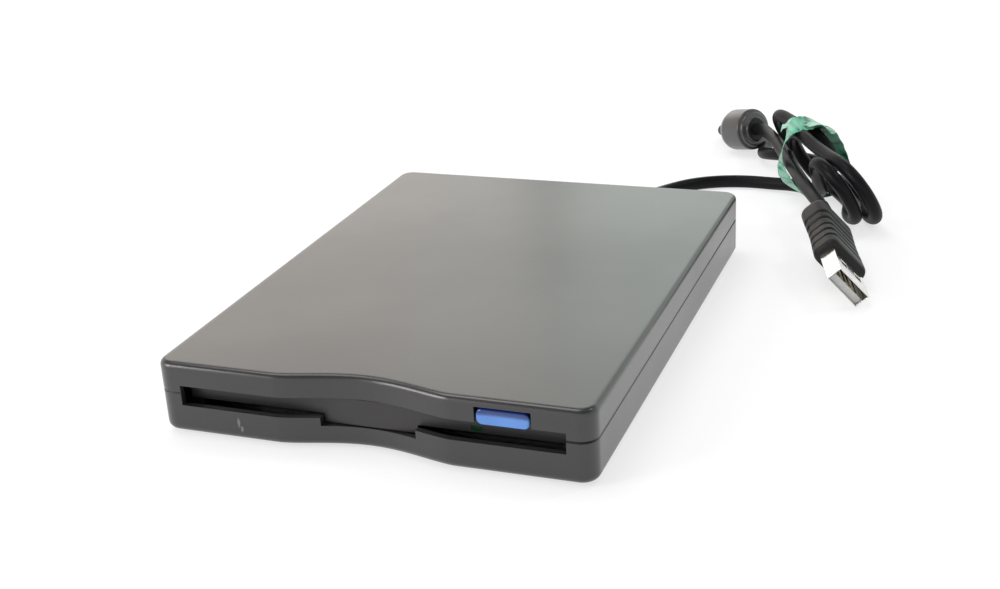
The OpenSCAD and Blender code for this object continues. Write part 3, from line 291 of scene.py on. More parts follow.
def smooth(obj, angle=32):
    """Smooth shading that keeps edges sharper than the angle."""
    obj.data.shade_smooth()
    obj.data.set_sharp_from_angle(angle=math.radians(angle))
    return obj


def settle_piece(obj, body, slot, finish, *nodes):
    """Gives a piece its body, finish by name, and the CAD nodes that it stands for; its slot argument is not
    used.
    """
    obj.data.materials.clear()
    obj.data.materials.append(FINISH[finish])
    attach(obj, body)
    if nodes:
        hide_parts(*nodes)
    return obj


def finish_node(name, finish):
    """Gives a kept CAD node its finish."""
    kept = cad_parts[name]
    for place in kept.material_slots:
        place.material = finish
    if not kept.material_slots:
        kept.data.materials.append(finish)


# ---- finishes ----

def feed(tree, socket, term):
    """Links a socket to another socket, or gives it a plain value."""
    if isinstance(term, bpy.types.NodeSocket):
        tree.links.new(term, socket)
    else:
        socket.default_value = term


def node(tree, kind, **values):
    """One shader node; values name its sockets, or its own properties."""
    made = tree.nodes.new(kind)
    for name, value in values.items():
        socket = made.inputs.get(name.replace("_", " "))
        if socket is None:
            setattr(made, name, value)
        else:
            feed(tree, socket, value)
    return made


def wired(tree, kind, terms, **values):
    """Outputs of one node whose first sockets are fed in order."""
    made = node(tree, kind, **values)
    for socket, term in zip(made.inputs, terms):
        feed(tree, socket, term)
    return made.outputs


def math_node(tree, operation, *terms):
    """One math node on sockets or numbers."""
    return wired(tree, "ShaderNodeMath", terms, operation=operation)[0]


def times(tree, first, second):
    """Product of two sockets or numbers."""
    return math_node(tree, "MULTIPLY", first, second)


def ramp(tree, value, low, high, out_low=0.0, out_high=1.0):
    """Smooth step of a value from one range to another."""
    terms = (value, low, high, out_low, out_high)
    return wired(tree, "ShaderNodeMapRange", terms, interpolation_type="SMOOTHSTEP")[0]


def noise(tree, vector, scale, **values):
    """One noise texture's value."""
    return node(tree, "ShaderNodeTexNoise", Vector=vector, Scale=scale, **values).outputs[0]


def blend_colour(tree, factor, first, second):
    """Mixes two colours, each a socket or a tuple."""
    made = node(tree, "ShaderNodeMix", data_type="RGBA")
    feed(tree, made.inputs[0], factor)
    for place, term in ((6, first), (7, second)):
        feed(tree, made.inputs[place], term if isinstance(term, bpy.types.NodeSocket) else (*term, 1))
    return made.outputs[2]


def group(name, inputs, outputs, build):
    """A shader node group, built once: a Vector and other inputs with their defaults, and float outputs."""
    if name in bpy.data.node_groups:
        return bpy.data.node_groups[name]
    tree = bpy.data.node_groups.new(name, "ShaderNodeTree")
    tree.interface.new_socket("Vector", in_out="INPUT", socket_type="NodeSocketVector")
    for label, default in inputs.items():
        kind = "NodeSocketVector" if isinstance(default, tuple) else "NodeSocketFloat"
        tree.interface.new_socket(label, in_out="INPUT", socket_type=kind).default_value = default
    for label in outputs:
        tree.interface.new_socket(label, in_out="OUTPUT", socket_type="NodeSocketFloat")
    made = build(tree, tree.nodes.new("NodeGroupInput").outputs)
    for socket, result in zip(tree.nodes.new("NodeGroupOutput").inputs, made):
        tree.links.new(result, socket)
    return tree


def grain_group():
    """Moulded or cast grain: fine noise over a cell pattern, as height and as a slight tone."""
    def build(tree, given):
        place, scale = given["Vector"], given["Scale"]
        fine = noise(tree, place, scale, Detail=3.0, Roughness=0.6)
        cells = node(tree, "ShaderNodeTexVoronoi", Vector=place, Scale=scale, feature="SMOOTH_F1")
        height = math_node(tree, "MULTIPLY_ADD", fine, 0.6, times(tree, cells.outputs[0], 0.55))
        return height, ramp(tree, height, 0.35, 0.85)
    return group("moulded grain", {"Scale": 3000.0}, ("Height", "Tone"), build)


def handling_group():
    """Handling wear: broad polished patches, small scuffs and sparse hairline scratches, as three masks."""
    def build(tree, given):
        place, scale = given["Vector"], given["Scale"]
        broad = noise(tree, place, scale, Detail=4.0, Roughness=0.55)
        specks = noise(tree, place, times(tree, scale, 22.0), Detail=5.0, Roughness=0.7)
        lanes = node(tree, "ShaderNodeMapping", Vector=place, Rotation=(0.0, 0.0, 0.5), Scale=(1.0, 0.03, 1.0))
        lines = noise(tree, lanes.outputs[0], times(tree, scale, 60.0), Detail=2.0)
        scratches = times(tree, ramp(tree, lines, 0.735, 0.76), ramp(tree, broad, 0.45, 0.6))
        return ramp(tree, broad, 0.35, 0.68), ramp(tree, specks, 0.69, 0.78), scratches
    return group("handling wear", {"Scale": 14.0}, ("Patches", "Scuffs", "Scratches"), build)


def rim_group():
    """Mask of a slab's outer rim: how near a point is to the upright faces of a box, and to its top."""
    def build(tree, given):
        x, y, z = node(tree, "ShaderNodeSeparateXYZ", Vector=given["Vector"]).outputs
        aside, back = (
            math_node(tree, "SUBTRACT", math_node(tree, "ABSOLUTE", part), given[half])
            for part, half in ((x, "Half width"), (y, "Half depth"))
        )
        near = ramp(tree, math_node(tree, "MAXIMUM", aside, back), -0.0019, -0.0004)
        high = ramp(tree, math_node(tree, "SUBTRACT", given["Top"], z), 0.0017, 0.0003)
        return [times(tree, near, high)]
    return group("rim wear", {"Half width": 0.052, "Half depth": 0.071, "Top": 0.0181}, ["Rim"], build)


def knock_group():
    """Mask of one short knock: 1 inside an ellipsoid round its place, broken up by noise, 0 outside."""
    def build(tree, given):
        away = wired(tree, "ShaderNodeVectorMath", (given["Vector"], given["Place"]), operation="SUBTRACT")[0]
        scaled = wired(tree, "ShaderNodeVectorMath", (away, given["Size"]), operation="DIVIDE")[0]
        reach = wired(tree, "ShaderNodeVectorMath", [scaled], operation="LENGTH")["Value"]
        rough = noise(tree, given["Vector"], 1400.0, Detail=3.0)
        return [ramp(tree, math_node(tree, "MULTIPLY_ADD", rough, 0.9, reach), 1.6, 0.9)]
    return group("knock", {"Place": (0.0, 0.0, 0.0), "Size": (0.001, 0.001, 0.001)}, ["Knock"], build)


def brushed_group():
    """Brushed or rolled metal: noise drawn out along one axis, as height and as tone."""
    def build(tree, given):
        terms = (given["Vector"], given["Stretch"])
        lanes = wired(tree, "ShaderNodeVectorMath", terms, operation="MULTIPLY")[0]
        drawn = noise(tree, lanes, given["Scale"], Detail=4.0, Roughness=0.65)
        return drawn, ramp(tree, drawn, 0.3, 0.7)
    return group("drawn metal", {"Stretch": (1.0, 0.05, 1.0), "Scale": 2500.0}, ("Height", "Tone"), build)


def placed(tree, source, place, **values):
    """Outputs of one group node in a material."""
    return node(tree, "ShaderNodeGroup", node_tree=source, Vector=place, **values).outputs


def along_run(tree, scale):
    """The UVs that run along and round a swept piece, scaled."""
    run = node(tree, "ShaderNodeUVMap", uv_map="run").outputs[0]
    return node(tree, "ShaderNodeMapping", Vector=run, Scale=scale).outputs[0]


def material(name, roughness=0.5, metallic=0.0, **sockets):
    """A material with constants on its Principled BSDF; returns it, its tree and its Object coordinates."""
    made = bpy.data.materials.new(name)
    made.use_nodes = True
    tree = made.node_tree
    for label, value in {"Roughness": roughness, "Metallic": metallic, **sockets}.items():
        tree.nodes["Principled BSDF"].inputs[label.replace("_", " ")].default_value = value
    return made, tree, tree.nodes.new("ShaderNodeTexCoord").outputs["Object"]


def shade(base, factor):
    """A colour made lighter or darker."""
    return tuple(min(1.0, c * factor) for c in base)


def dressed(made, tone, height, depth, rough=None, strength=1.0):
    """Links a material's base colour, its relief of that depth in metres and its roughness, and returns it."""
    tree = made.node_tree
    shader = tree.nodes["Principled BSDF"].inputs
    tree.links.new(tone, shader["Base Color"])
    relief = node(tree, "ShaderNodeBump", Height=height, Distance=depth, Strength=strength)
    tree.links.new(relief.outputs[0], shader["Normal"])
    if rough is not None:
        tree.links.new(rough, shader["Roughness"])
    return made


def moulded(name, base, roughness, grain=2600.0, depth=0.00002, worn=1.35, scuffed=2.0, rim=None, knocks=(),
            **sockets):
    """Moulded plastic: eroded grain, patches polished by hands, scuffs, hairlines, a rubbed rim and knocks."""
    made, tree, place = material(name, roughness, **sockets)
    eroded = placed(tree, grain_group(), place, Scale=grain)
    wear = placed(tree, handling_group(), place, Scale=16.0)
    tone = blend_colour(tree, eroded["Tone"], shade(base, 0.9), shade(base, 1.1))
    tone = blend_colour(tree, times(tree, wear["Patches"], 0.5), tone, shade(base, worn))
    marks = math_node(tree, "MAXIMUM", times(tree, wear["Scuffs"], 0.5), times(tree, wear["Scratches"], 0.6))
    tone = blend_colour(tree, marks, tone, shade(base, scuffed))
    rough = math_node(tree, "MULTIPLY_ADD", wear["Patches"], -0.05, roughness + 0.02)
    if rim:
        edge = placed(tree, rim_group(), place, Half_width=rim[0], Half_depth=rim[1], Top=rim[2])["Rim"]
        rubbed = times(tree, edge, ramp(tree, wear["Patches"], 0.0, 1.0, 0.35, 0.8))
        tone = blend_colour(tree, rubbed, tone, shade(base, scuffed * 0.9))
        rough = math_node(tree, "MULTIPLY_ADD", edge, -0.1, rough)
    for at, size in knocks:
        mask = placed(tree, knock_group(), place, Place=at, Size=size)["Knock"]
        tone = blend_colour(tree, times(tree, mask, 0.8), tone, (0.22, 0.20, 0.19))
    return dressed(made, tone, eroded["Height"], depth, rough)


def drawn_steel(name, base, roughness, scale, stretch=(1.0, 1.0, 1.0), spangle=0.0, depth=0.000004):
    """Steel with its drawing or grinding lines and, on plated sheet, the faint spangle of the plating."""
    made, tree, place = material(name, roughness, 1.0)
    lines = placed(tree, brushed_group(), place, Stretch=stretch, Scale=scale)
    wear = placed(tree, handling_group(), place, Scale=30.0)
    tone = blend_colour(tree, lines["Tone"], shade(base, 0.86), shade(base, 1.06))
    rough = math_node(tree, "MULTIPLY_ADD", wear["Patches"], 0.12, roughness - 0.04)
    if spangle:
        cells = node(tree, "ShaderNodeTexVoronoi", Vector=place, Scale=450.0)
        cell = node(tree, "ShaderNodeSeparateColor", Color=cells.outputs["Color"]).outputs[0]
        tone = blend_colour(tree, times(tree, cell, spangle), tone, shade(base, 0.72))
        rough = math_node(tree, "MULTIPLY_ADD", cell, 0.08, rough)
    tone = blend_colour(tree, times(tree, wear["Scuffs"], 0.5), tone, shade(base, 0.6))
    return dressed(made, tone, lines["Height"], depth, rough)


def jacket(name, base, roughness):
    """Extruded cable jacket: lines drawn along it, fine grain and dusty handling."""
    made, tree, place = material(name, roughness, Specular_IOR_Level=0.12)
    drawn = noise(tree, along_run(tree, (6.0, 26.0, 1.0)), 1.0, Detail=3.0)
    fine = placed(tree, grain_group(), place, Scale=3400.0)["Height"]
    dusty = placed(tree, handling_group(), place, Scale=60.0)["Patches"]
    tone = blend_colour(tree, drawn, shade(base, 0.8), shade(base, 1.35))
    tone = blend_colour(tree, times(tree, dusty, 0.4), tone, shade(base, 2.0))
    rough = math_node(tree, "MULTIPLY_ADD", dusty, 0.14, roughness - 0.05)
    relief = math_node(tree, "MULTIPLY_ADD", drawn, 0.7, times(tree, fine, 0.35))
    return dressed(made, tone, relief, 0.00003, rough)


def twist_tie(name, base):
    """Green film over a wire: crinkled across, with painted shade in its folds and painted highlights on their
    crests, milky in places and a little translucent.
    """
    deep = (0.0008, 0.0012, 0.0009)
    film = {"Subsurface_Weight": 0.25, "Subsurface_Radius": deep, "Coat_Weight": 0.25, "IOR": 1.5}
    made, tree, place = material(name, 0.34, **film)
    folds = noise(tree, along_run(tree, (3.0, 1.5, 1.0)), 1.6, Detail=4.0, Distortion=0.6)
    milky = placed(tree, handling_group(), place, Scale=120.0)["Patches"]
    # painted shade and highlight: the crinkle noise darkens the folds to a fifth of the green and lightens
    # their crests
    tone = blend_colour(tree, ramp(tree, folds, 0.36, 0.6), shade(base, 0.2), shade(base, 1.15))
    tone = blend_colour(tree, times(tree, milky, 0.6), tone, (0.46, 0.74, 0.60))
    return dressed(made, tone, folds, 0.00035, strength=0.9)


def circuit_board(name, base):
    """Solder mask over copper tracks that run on a coarse brick grid, with a fine weave."""
    made, tree, place = material(name, 0.34, Coat_Weight=0.3)
    tracks = node(tree, "ShaderNodeTexBrick", Vector=place, Scale=420.0, Mortar_Size=0.06, Mortar_Smooth=0.3)
    weave = node(tree, "ShaderNodeTexChecker", Vector=place, Scale=3600.0).outputs[1]
    copper = blend_colour(tree, tracks.outputs[1], base, shade(base, 1.9))
    tone = blend_colour(tree, times(tree, weave, 0.12), copper, shade(base, 0.6))
    return dressed(made, tone, tracks.outputs[1], 0.00002)


def button_blue(name, base):
    """Blue translucent key: pale over most of its face, with a clear satin skin, and a painted shade that
    darkens it to deep blue along its top edge, where the case overhangs it.
    """
    made, tree, place = material(name, 0.22, Coat_Weight=0.7, Coat_Roughness=0.1)
    height = node(tree, "ShaderNodeSeparateXYZ", Vector=place).outputs[2]
    cloud = placed(tree, handling_group(), place, Scale=90.0)["Patches"]
    tone = blend_colour(tree, times(tree, cloud, 0.35), base, shade(base, 1.5))
    low, high = (corner[2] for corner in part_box("eject_button"))
    # painted shade: by height, the top of the key is darkened to deep blue, standing for the shadow under the
    # case's overhang
    painted_overhang_shade = ramp(tree, height, low + 0.5 * (high - low), low + 0.78 * (high - low))
    tone = blend_colour(tree, painted_overhang_shade, tone, (base[0] * 0.05, base[1] * 0.12, base[2] * 0.26))
    return dressed(made, tone, placed(tree, grain_group(), place, Scale=3200.0)["Height"], 0.000006)


def windings(name, base):
    """Lacquered copper wire laid side by side round each pole."""
    made, tree, place = material(name, 0.32, 0.8, Coat_Weight=0.5)
    turns = node(tree, "ShaderNodeTexWave", Vector=place, Scale=900.0, Distortion=1.2, wave_type="RINGS",
                 rings_direction="Z").outputs[1]
    return dressed(made, blend_colour(tree, turns, shade(base, 0.35), base), turns, 0.00008)


def grained(name, base, roughness, scale, low, high, depth, **sockets):
    """Plain grain, mottled between two shades of its colour, for chip packages and lapped ceramic."""
    made, tree, place = material(name, roughness, **sockets)
    mottle = placed(tree, grain_group(), place, Scale=scale)
    tone = blend_colour(tree, mottle["Tone"], shade(base, low), shade(base, high))
    return dressed(made, tone, mottle["Height"], depth)


def light_guide(name, base):
    """Tinted clear plastic with faint flow lines inside."""
    made, tree, place = material(name, 0.18, Transmission_Weight=0.35, IOR=1.49)
    flow = placed(tree, brushed_group(), place, Stretch=(0.3, 1.0, 1.0), Scale=900.0)
    tone = blend_colour(tree, flow["Tone"], shade(base, 0.8), shade(base, 1.4))
    return dressed(made, tone, flow["Height"], 0.00001)


SATIN = {"Coat_Weight": 0.6, "Coat_Roughness": 0.2}
# place and size of each pale knock on the bottom moulding's front
KNOCKS = [
    ((-0.0316, -0.071, 0.0052), (0.0004, 0.0012, 0.0014)),
    ((-0.0309, -0.071, 0.0036), (0.0004, 0.0012, 0.0009)),
]
FINISH = {}


def make_finishes():
    """Makes every finish once, by the names that the pieces use."""
    c = setting("finish")
    case = setting("case")
    rim = (case.width / 2, case.depth / 2, case.top)
    FINISH.update({
        "top": moulded("charcoal top moulding", c.case, 0.4, rim=rim, scuffed=2.2, **SATIN),
        "base": moulded("charcoal bottom moulding", shade(c.case, 0.9), 0.4, scuffed=2.2, knocks=KNOCKS,
                        **SATIN),
        "flap": moulded("black flap moulding", c.flap, 0.4, worn=1.6, scuffed=3.0, Coat_Weight=0.3,
                        Coat_Roughness=0.25),
        "button": button_blue("blue button", c.button),
        "rubber": moulded("foot rubber", (0.014, 0.014, 0.015), 0.75, 4200.0, 0.00004, 1.8, 3.0),
        "grip": moulded("black overmoulding", c.moulding, 0.44, 2400.0, 0.00003, 1.5, 2.4,
                        Specular_IOR_Level=0.25),
        "carriage": moulded("glass-filled carriage", (0.03, 0.03, 0.033), 0.5, 3800.0, worn=1.3),
        "tongue": moulded("white insulator", (0.72, 0.72, 0.70), 0.42, 3000.0, 0.00001, 1.04, 0.8),
        "film": moulded("flat film cable", (0.50, 0.44, 0.30), 0.3, 1500.0, 0.00001, 1.1, 0.8),
        "insulation": moulded("red wire insulation", (0.30, 0.03, 0.03), 0.4, worn=1.2, scuffed=1.4),
        "bead": moulded("grey bead moulding", shade(c.moulding, 3.8), 0.36, 2400.0, worn=1.3, scuffed=1.8,
                        **SATIN),
        "plated": drawn_steel("zinc-plated sheet", c.plated, 0.34, 1600.0, (0.06, 1.0, 1.0), 0.5),
        "lid": drawn_steel("plated lid", shade(c.plated, 1.05), 0.36, 1600.0, (1.0, 0.05, 1.0), 0.35),
        "pin": drawn_steel("ground pin steel", (0.66, 0.66, 0.67), 0.2, 4200.0, (0.05, 1.0, 0.05)),
        "can": drawn_steel("motor can", (0.46, 0.47, 0.48), 0.3, 2600.0, (0.05, 1.0, 0.05)),
        "screw": drawn_steel("blackened screw steel", (0.16, 0.16, 0.165), 0.38, 3000.0),
        "spring": drawn_steel("spring wire", (0.46, 0.46, 0.47), 0.28, 4200.0),
        "rotor": drawn_steel("pressed rotor cup", (0.34, 0.35, 0.36), 0.36, 1300.0, spangle=0.2),
        "bronze": drawn_steel("sintered bronze", (0.44, 0.32, 0.15), 0.42, 5200.0),
        "nickel": drawn_steel("nickel-plated shell", c.nickel, 0.16, 1200.0, (1.0, 0.3, 1.0), depth=0.000002),
        "gold": drawn_steel("gold contacts", (0.83, 0.60, 0.22), 0.24, 2600.0),
        "cable": jacket("black cable jacket", c.cable, 0.4),
        "tie": twist_tie("green twist tie", c.tie),
        "board": circuit_board("green circuit board", (0.018, 0.10, 0.04)),
        "copper": windings("copper windings", (0.62, 0.26, 0.11)),
        "chips": grained("chip packages", (0.018, 0.018, 0.02), 0.55, 5200.0, 0.8, 1.3, 0.00001),
        "ceramic": grained("lapped ceramic", (0.74, 0.70, 0.60), 0.22, 900.0, 0.88, 1.0, 0.000005,
                           Coat_Weight=0.4),
        "window": light_guide("green light guide", c.window),
        "lamp": light_guide("frosted lamp lens", (0.22, 0.55, 0.30)),
    })


# ---- case ----

GUARD = 0.5 * MM
CORNERS = ((-1, -1, 180), (1, -1, 270), (1, 1, 0), (-1, 1, 90))
SCOOP_X = -1 * MM
SCREW_AT = [(s * x * MM, y * MM) for x, y in ((48.3, -60.4), (46.0, 64.6)) for s in (-1, 1)]
FOOT_AT = [(s * 40 * MM, t * 56 * MM) for s in (-1, 1) for t in (-1, 1)]
FRAME_POST_AT = [(s * x * MM, y * MM) for x, y in ((40, -51.7), (36, 57)) for s in (-1, 1)]
GLAND_AT = (14.5 * MM, 84 * MM, 9.4 * MM)
# name, places, top and radius of the holes in the bottom, in millimetres but for the places
HOLES = [("screw cut", SCREW_AT, 4, 1.05), ("head cut", SCREW_AT, 2, 2), ("foot cut", FOOT_AT, 1.2, 4.1)]


def corner_arc(cx, cy, radius, start, points=9):
    """Quarter circle [point, xy] that starts at an angle."""
    turn = np.radians(start + np.linspace(0, 90, points))
    return np.stack([cx + radius * np.cos(turn), cy + radius * np.sin(turn)], -1)


def guarded_arc(cx, cy, radius, start):
    """Quarter circle with one point more on each straight beside it."""
    arc = corner_arc(cx, cy, radius, start, 13)
    ends = np.radians([start, start + 90])
    along = np.stack([-np.sin(ends), np.cos(ends)], -1) * GUARD
    return np.vstack([arc[:1] - along[:1], arc, arc[-1:] + along[1:]])


def case_outline(inset):
    """Plan outline drawn in by inset: corner arcs, and a front that dips by cos(pi s)^1.4 at the scoop."""
    c = setting("case")
    x, y, r = c.width / 2 - c.corner, c.depth / 2 - c.corner, c.corner - inset
    s = np.linspace(-0.5, 0.5, 73)
    dip = c.scoop_depth * np.clip(np.cos(math.pi * s), 0, 1) ** 1.4
    front = np.stack([SCOOP_X + s * c.scoop_width, inset - c.depth / 2 + dip], -1)
    first, *others = (guarded_arc(sx * x, sy * y, r, start) for sx, sy, start in CORNERS)
    return np.vstack([first, front, *others])


def edge_roll(radius, edge_z, side):
    """Rows (inset, z) of a quarter circle from the upright wall over to the flat face at edge_z."""
    t = np.linspace(0, math.pi / 2, 9)
    rows = np.stack([radius * (1 - np.cos(t)), edge_z - side * radius * (1 - np.sin(t))], -1)
    return np.vstack([[0, rows[0, 1] - side * GUARD], rows, [radius + GUARD, edge_z]])


def case_shell(name, rows):
    """Shell of one moulding: its outline carried along (inset, z) rows between its inner wall and its edge."""
    grid = [np.column_stack([case_outline(inset), np.full(len(case_outline(0)), z)]) for inset, z in rows]
    return swept(name, np.stack(grid))


def upright(name, x, y, z0, z1, radius, bore=None):
    """Upright rod, or a post with a bore."""
    profile = [(radius, z0), (radius, z1)] + ([(bore, z1), (bore, z0)] if bore else [])
    return revolved(name, profile, frame_along((x, y, 0), (0, 0, 1), (0, 1, 0)), 32, ring=bool(bore))


def slot_cutter():
    """The slot, its finger notch and the button's opening as one prism through the front wall."""
    outline = [
        (-45.8, 7.8), (-12, 7.8), (-12, 5.8), (11, 5.8), (11, 7.8), (45.8, 7.8),
        (45.8, 12.6), (38.3, 12.6), (38.3, 16.3), (25.7, 16.3), (25.7, 12.6), (-45.8, 12.6),
    ]
    return prism("slot cut", np.array(outline) * MM, -76 * MM, -64.6 * MM)


def gland_cutter():
    """Hole for the cable gland in the rear wall."""
    place = frame_along((GLAND_AT[0], 66 * MM, GLAND_AT[2]), (0, 1, 0))
    return revolved("gland cut", [(3.05 * MM, 0), (3.05 * MM, 8 * MM)], place, 40)


def joined(obj, parts):
    """Adds the meshes of other pieces to a piece as they stand."""
    work = bmesh.new()
    for each in [obj, *parts]:
        work.from_mesh(each.data)
    work.to_mesh(obj.data)
    work.free()
    for part in parts:
        bpy.data.objects.remove(part, do_unlink=True)
    return obj


def block(name, low, high):
    """Closed box between two corners, in millimetres."""
    (x0, y0, z0), (x1, y1, z1) = low, high
    return prism(name, np.array([(x0, z0), (x1, z0), (x1, z1), (x0, z1)]) * MM, y0 * MM, y1 * MM)


class DRIVE_OT_case(bpy.types.Operator):
    """Moulds the top and bottom of the case, cut for the slot, button, gland, screws and feet"""

    bl_idname = "drive.case"
    bl_label = "Case mouldings"

    def execute(self, context):
        c = setting("case")
        floor, ceiling, inner = c.base + c.wall, c.top - c.wall, c.wall
        lip = [(0, c.parting - c.seam), (c.seam, c.parting), (inner, c.parting), (inner, floor)]
        bottom = case_shell("case_bottom", np.vstack([edge_roll(c.base_roll, c.base, -1)[::-1], lip]))
        carved(bottom, [slot_cutter(), gland_cutter()] + [
            upright(name, x, y, -1 * MM, top * MM, radius * MM) for name, places, top, radius in HOLES
            for x, y in places
        ])
        posts = [upright("post", x, y, floor, c.parting, 2.2 * MM, 1.05 * MM) for x, y in SCREW_AT]
        posts += [upright("post", x, y, floor, 3 * MM, 2.4 * MM, 0.85 * MM) for x, y in FRAME_POST_AT]
        joined(bottom, posts)
        settle_piece(broken_edges(bottom, c.edge_break), "case", "case_dark", "base", "bottom_cover")

        lip = [(inner, ceiling), (inner, c.parting), (c.seam, c.parting), (0, c.parting + c.seam)]
        top = case_shell("case_top", np.vstack([lip, edge_roll(c.top_roll, c.top, 1)]))
        carved(top, [slot_cutter(), gland_cutter()])
        posts = [upright("post", x, y, c.parting, ceiling, 2.2 * MM, 1.05 * MM) for x, y in SCREW_AT]
        posts += [block("hinge block", (x, -69.4, 11.4), (x + 1.6, -64, 15.8)) for x in (-47.5, 45.9)]
        joined(top, posts)
        settle_piece(broken_edges(top, c.edge_break), "case", "case_top", "top", "top_cover")
        return {"FINISHED"}


# ---- front ----

def rounded_rectangle(half_x, half_z, radius):
    """Outline [point, xz] of a rectangle with quarter-circle corners."""
    x, z = half_x - radius, half_z - radius
    return np.vstack([corner_arc(sx * x, sz * z, radius, start) for sx, sz, start in CORNERS])


def lofted(name, stations, place):
    """Skin through rounded rectangles: each station is (y, half x, half z, corner radius), square to +Y."""
    grid = [
        section_at(y, rounded_rectangle(half_x, half_z, min(radius, half_x, half_z) * 0.999))
        for y, half_x, half_z, radius in stations
    ]
    return swept(name, moved(np.stack(grid), place))


class DRIVE_OT_front(bpy.types.Operator):
    """Makes the dust flap, its light guide and the eject button"""

    bl_idname = "drive.front"
    bl_label = "Flap, window and button"

    def execute(self, context):
        flap = broken_edges(node_copy("dust_flap", "slot_flap"), 0.18 * MM)
        settle_piece(flap, "flap", "flap_plastic", "flap", "slot_flap")
        window = broken_edges(node_copy("light_guide", "indicator_window"), 0.12 * MM)
        settle_piece(window, "flap", "window_green", "window", "indicator_window")

        low, high = (np.array(corner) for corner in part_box("eject_button"))
        middle, half = (low + high) / 2, (high - low) / 2
        radius, edge, sag = 1.4 * MM, 0.55 * MM, 0.25 * MM
        front, face_x, face_z = low[1], half[0] - edge, half[2] - edge
        # the face sinks by sag towards its middle, then its edge rolls back into the sides
        rows = [(front + sag * (1 - d * d), face_x - (1 - d) * face_x * 0.9, face_z - (1 - d) * face_z * 0.8,
                 (radius - edge) * max(d, 0.25)) for d in np.linspace(0.0, 1.0, 6)]
        for t in np.linspace(0, math.pi / 2, 7)[1:]:
            inset = edge * (1 - np.sin(t))
            rows.append((front + edge * (1 - np.cos(t)), half[0] - inset, half[2] - inset, radius - inset))
        rows += [(front + edge + 0.3 * MM, half[0], half[2], radius),
                 (high[1] - 0.1 * MM, half[0], half[2], radius),
                 (high[1], half[0] - 0.1 * MM, half[2] - 0.1 * MM, radius)]
        place = np.eye(4)
        place[:3, 3] = middle[0], 0, middle[2]
        button = smooth(lofted("eject_key", rows, place), 40)
        settle_piece(button, "ejector", "button_blue", "button", "eject_button")
        return {"FINISHED"}


# ---- cable ----

# the hank lies along U over the floor, V is across it, and its turns lean along E; all these are in millimetres
U = np.array([math.cos(math.radians(-56)), math.sin(math.radians(-56)), 0.0])
V = np.array([-U[1], U[0], 0.0])
LEAN = math.radians(60)
E = -math.cos(LEAN) * V + math.sin(LEAN) * UP
HANK_AT = np.array([66.0, 120.0, 0.0])
LOWEST, HUMP, STRAND_RISE = 2.1, 1.4, 4.8
CABLE_STEP = 0.9 * MM
EASING_PASSES = 14
BEAD_AT = np.array([34.7, 164.8, 8.2])
BEAD_AXIS = np.array([0.69, -0.54, 0.2]) / np.linalg.norm([0.69, -0.54, 0.2])
# the plug's tip, its turns in degrees, and the lengths of its shell, grip and neck
PLUG_TIP = (88.1, 35.3, 6.0)
PLUG_TURN = (18.0, 7.6, -41.0)
PLUG_PARTS = (12.0, 25.0, 9.0)
LEAD = [
    (14.5, 84, 9.4), (14.5, 90, 8), (14.8, 97, 5), (16.4, 105.5, 2.7), (20.5, 114, 2.1), (26.5, 121, 2.1),
    (34.6, 125.5, 2.1), (43.8, 127.2, 2.1), (52, 126, 2.3), (59, 123.8, 3),
]
TAIL = [
    (62.2, 136.7, 7.4), (54.2, 141.5, 7.1), (45.6, 148.8, 5), (42.3, 158.5, 2.5), (42, 168, 2.1),
    (41.3, 177.2, 2.1), (38.8, 183.3, 2.1), (32.7, 185.9, 2.1), (26.6, 183.4, 2.4), (24.2, 177.2, 3.8),
]
STRAND = [(44.2, 154.2, 11), (50.4, 139.4, 12), (57, 121.6, 12.2), (66, 98.9, 11.9)]
# the tie's loop as (across, up), and its two ends as (along, across, up)
TIE_LOOP = [
    (-1, 0.6), (6, 0.6), (12.2, 0.6), (14.2, 2.2), (14.4, 4.6), (12.2, 9.6), (8.4, 15.4), (4.4, 21.2),
    (1.6, 23.9), (-2, 24.6), (-5.6, 24.5), (-8, 22.8), (-9.4, 19.4), (-10.5, 15.2), (-10.3, 10.4), (-7.8, 5.8),
    (-3.9, 2.2),
]
TIE_ENDS = [
    [(-1.6, -4, 24.4), (0.6, -1.2, 24.7), (2.8, 1.4, 24.3), (4.8, 3.8, 22.4)],
    [(-2, -0.6, 24.5), (-3.6, -3.4, 24.8), (-5.4, -6.4, 24.3), (-7.2, -8.4, 22.2)],
]
# the gland's profile as (radius, height behind the case)
GLAND_ROWS = [
    (0.02, -3.1), (4, -3.1), (4, -1.7), (3, -1.7), (3, 0.1), (4.4, 0.1), (4.4, 1.4), (3.8, 1.8), (3.5, 3.4),
    (3.1, 3.6), (3.05, 4.4), (3.4, 4.6), (3.2, 6.2), (2.8, 6.4), (2.75, 7.2), (3.1, 7.4), (2.9, 9), (2.5, 9.2),
    (2.45, 10), (2.7, 10.2), (2.2, 13), (0.02, 13),
]


def at_hank(u, v, z):
    """Points in millimetres from the hank's place on the floor: u along it, v across it and z up."""
    return HANK_AT + U * u + V * v + UP * z


def hank_point(s, c, h):
    """Point of the leaning hank: s along it, c across it, h up its lean, over a low hump at the tie."""
    s, c, h = (np.asarray(v, float)[..., None] for v in np.broadcast_arrays(s, c, h))
    return at_hank(s, c, LOWEST + HUMP * np.exp(-s * s / 100)) + E * h


def hank_run(s, c, h, steps):
    """Run from one end to the other, its side step and its rise eased by 3t^2 - 2t^3."""
    t = np.arange(steps) / steps
    ease = t * t * (3 - 2 * t)
    return hank_point(s[0] + (s[1] - s[0]) * t, c[0] + (c[1] - c[0]) * ease, h[0] + (h[1] - h[0]) * ease)


def hank_fold(s, c, h, way):
    """Half circle between two heights that bulges along s."""
    a = np.radians(30 * np.arange(6))
    r = (h[1] - h[0]) / 2
    return hank_point(s + way * abs(r) * np.sin(a), c, h[0] + r * (1 - np.cos(a)))


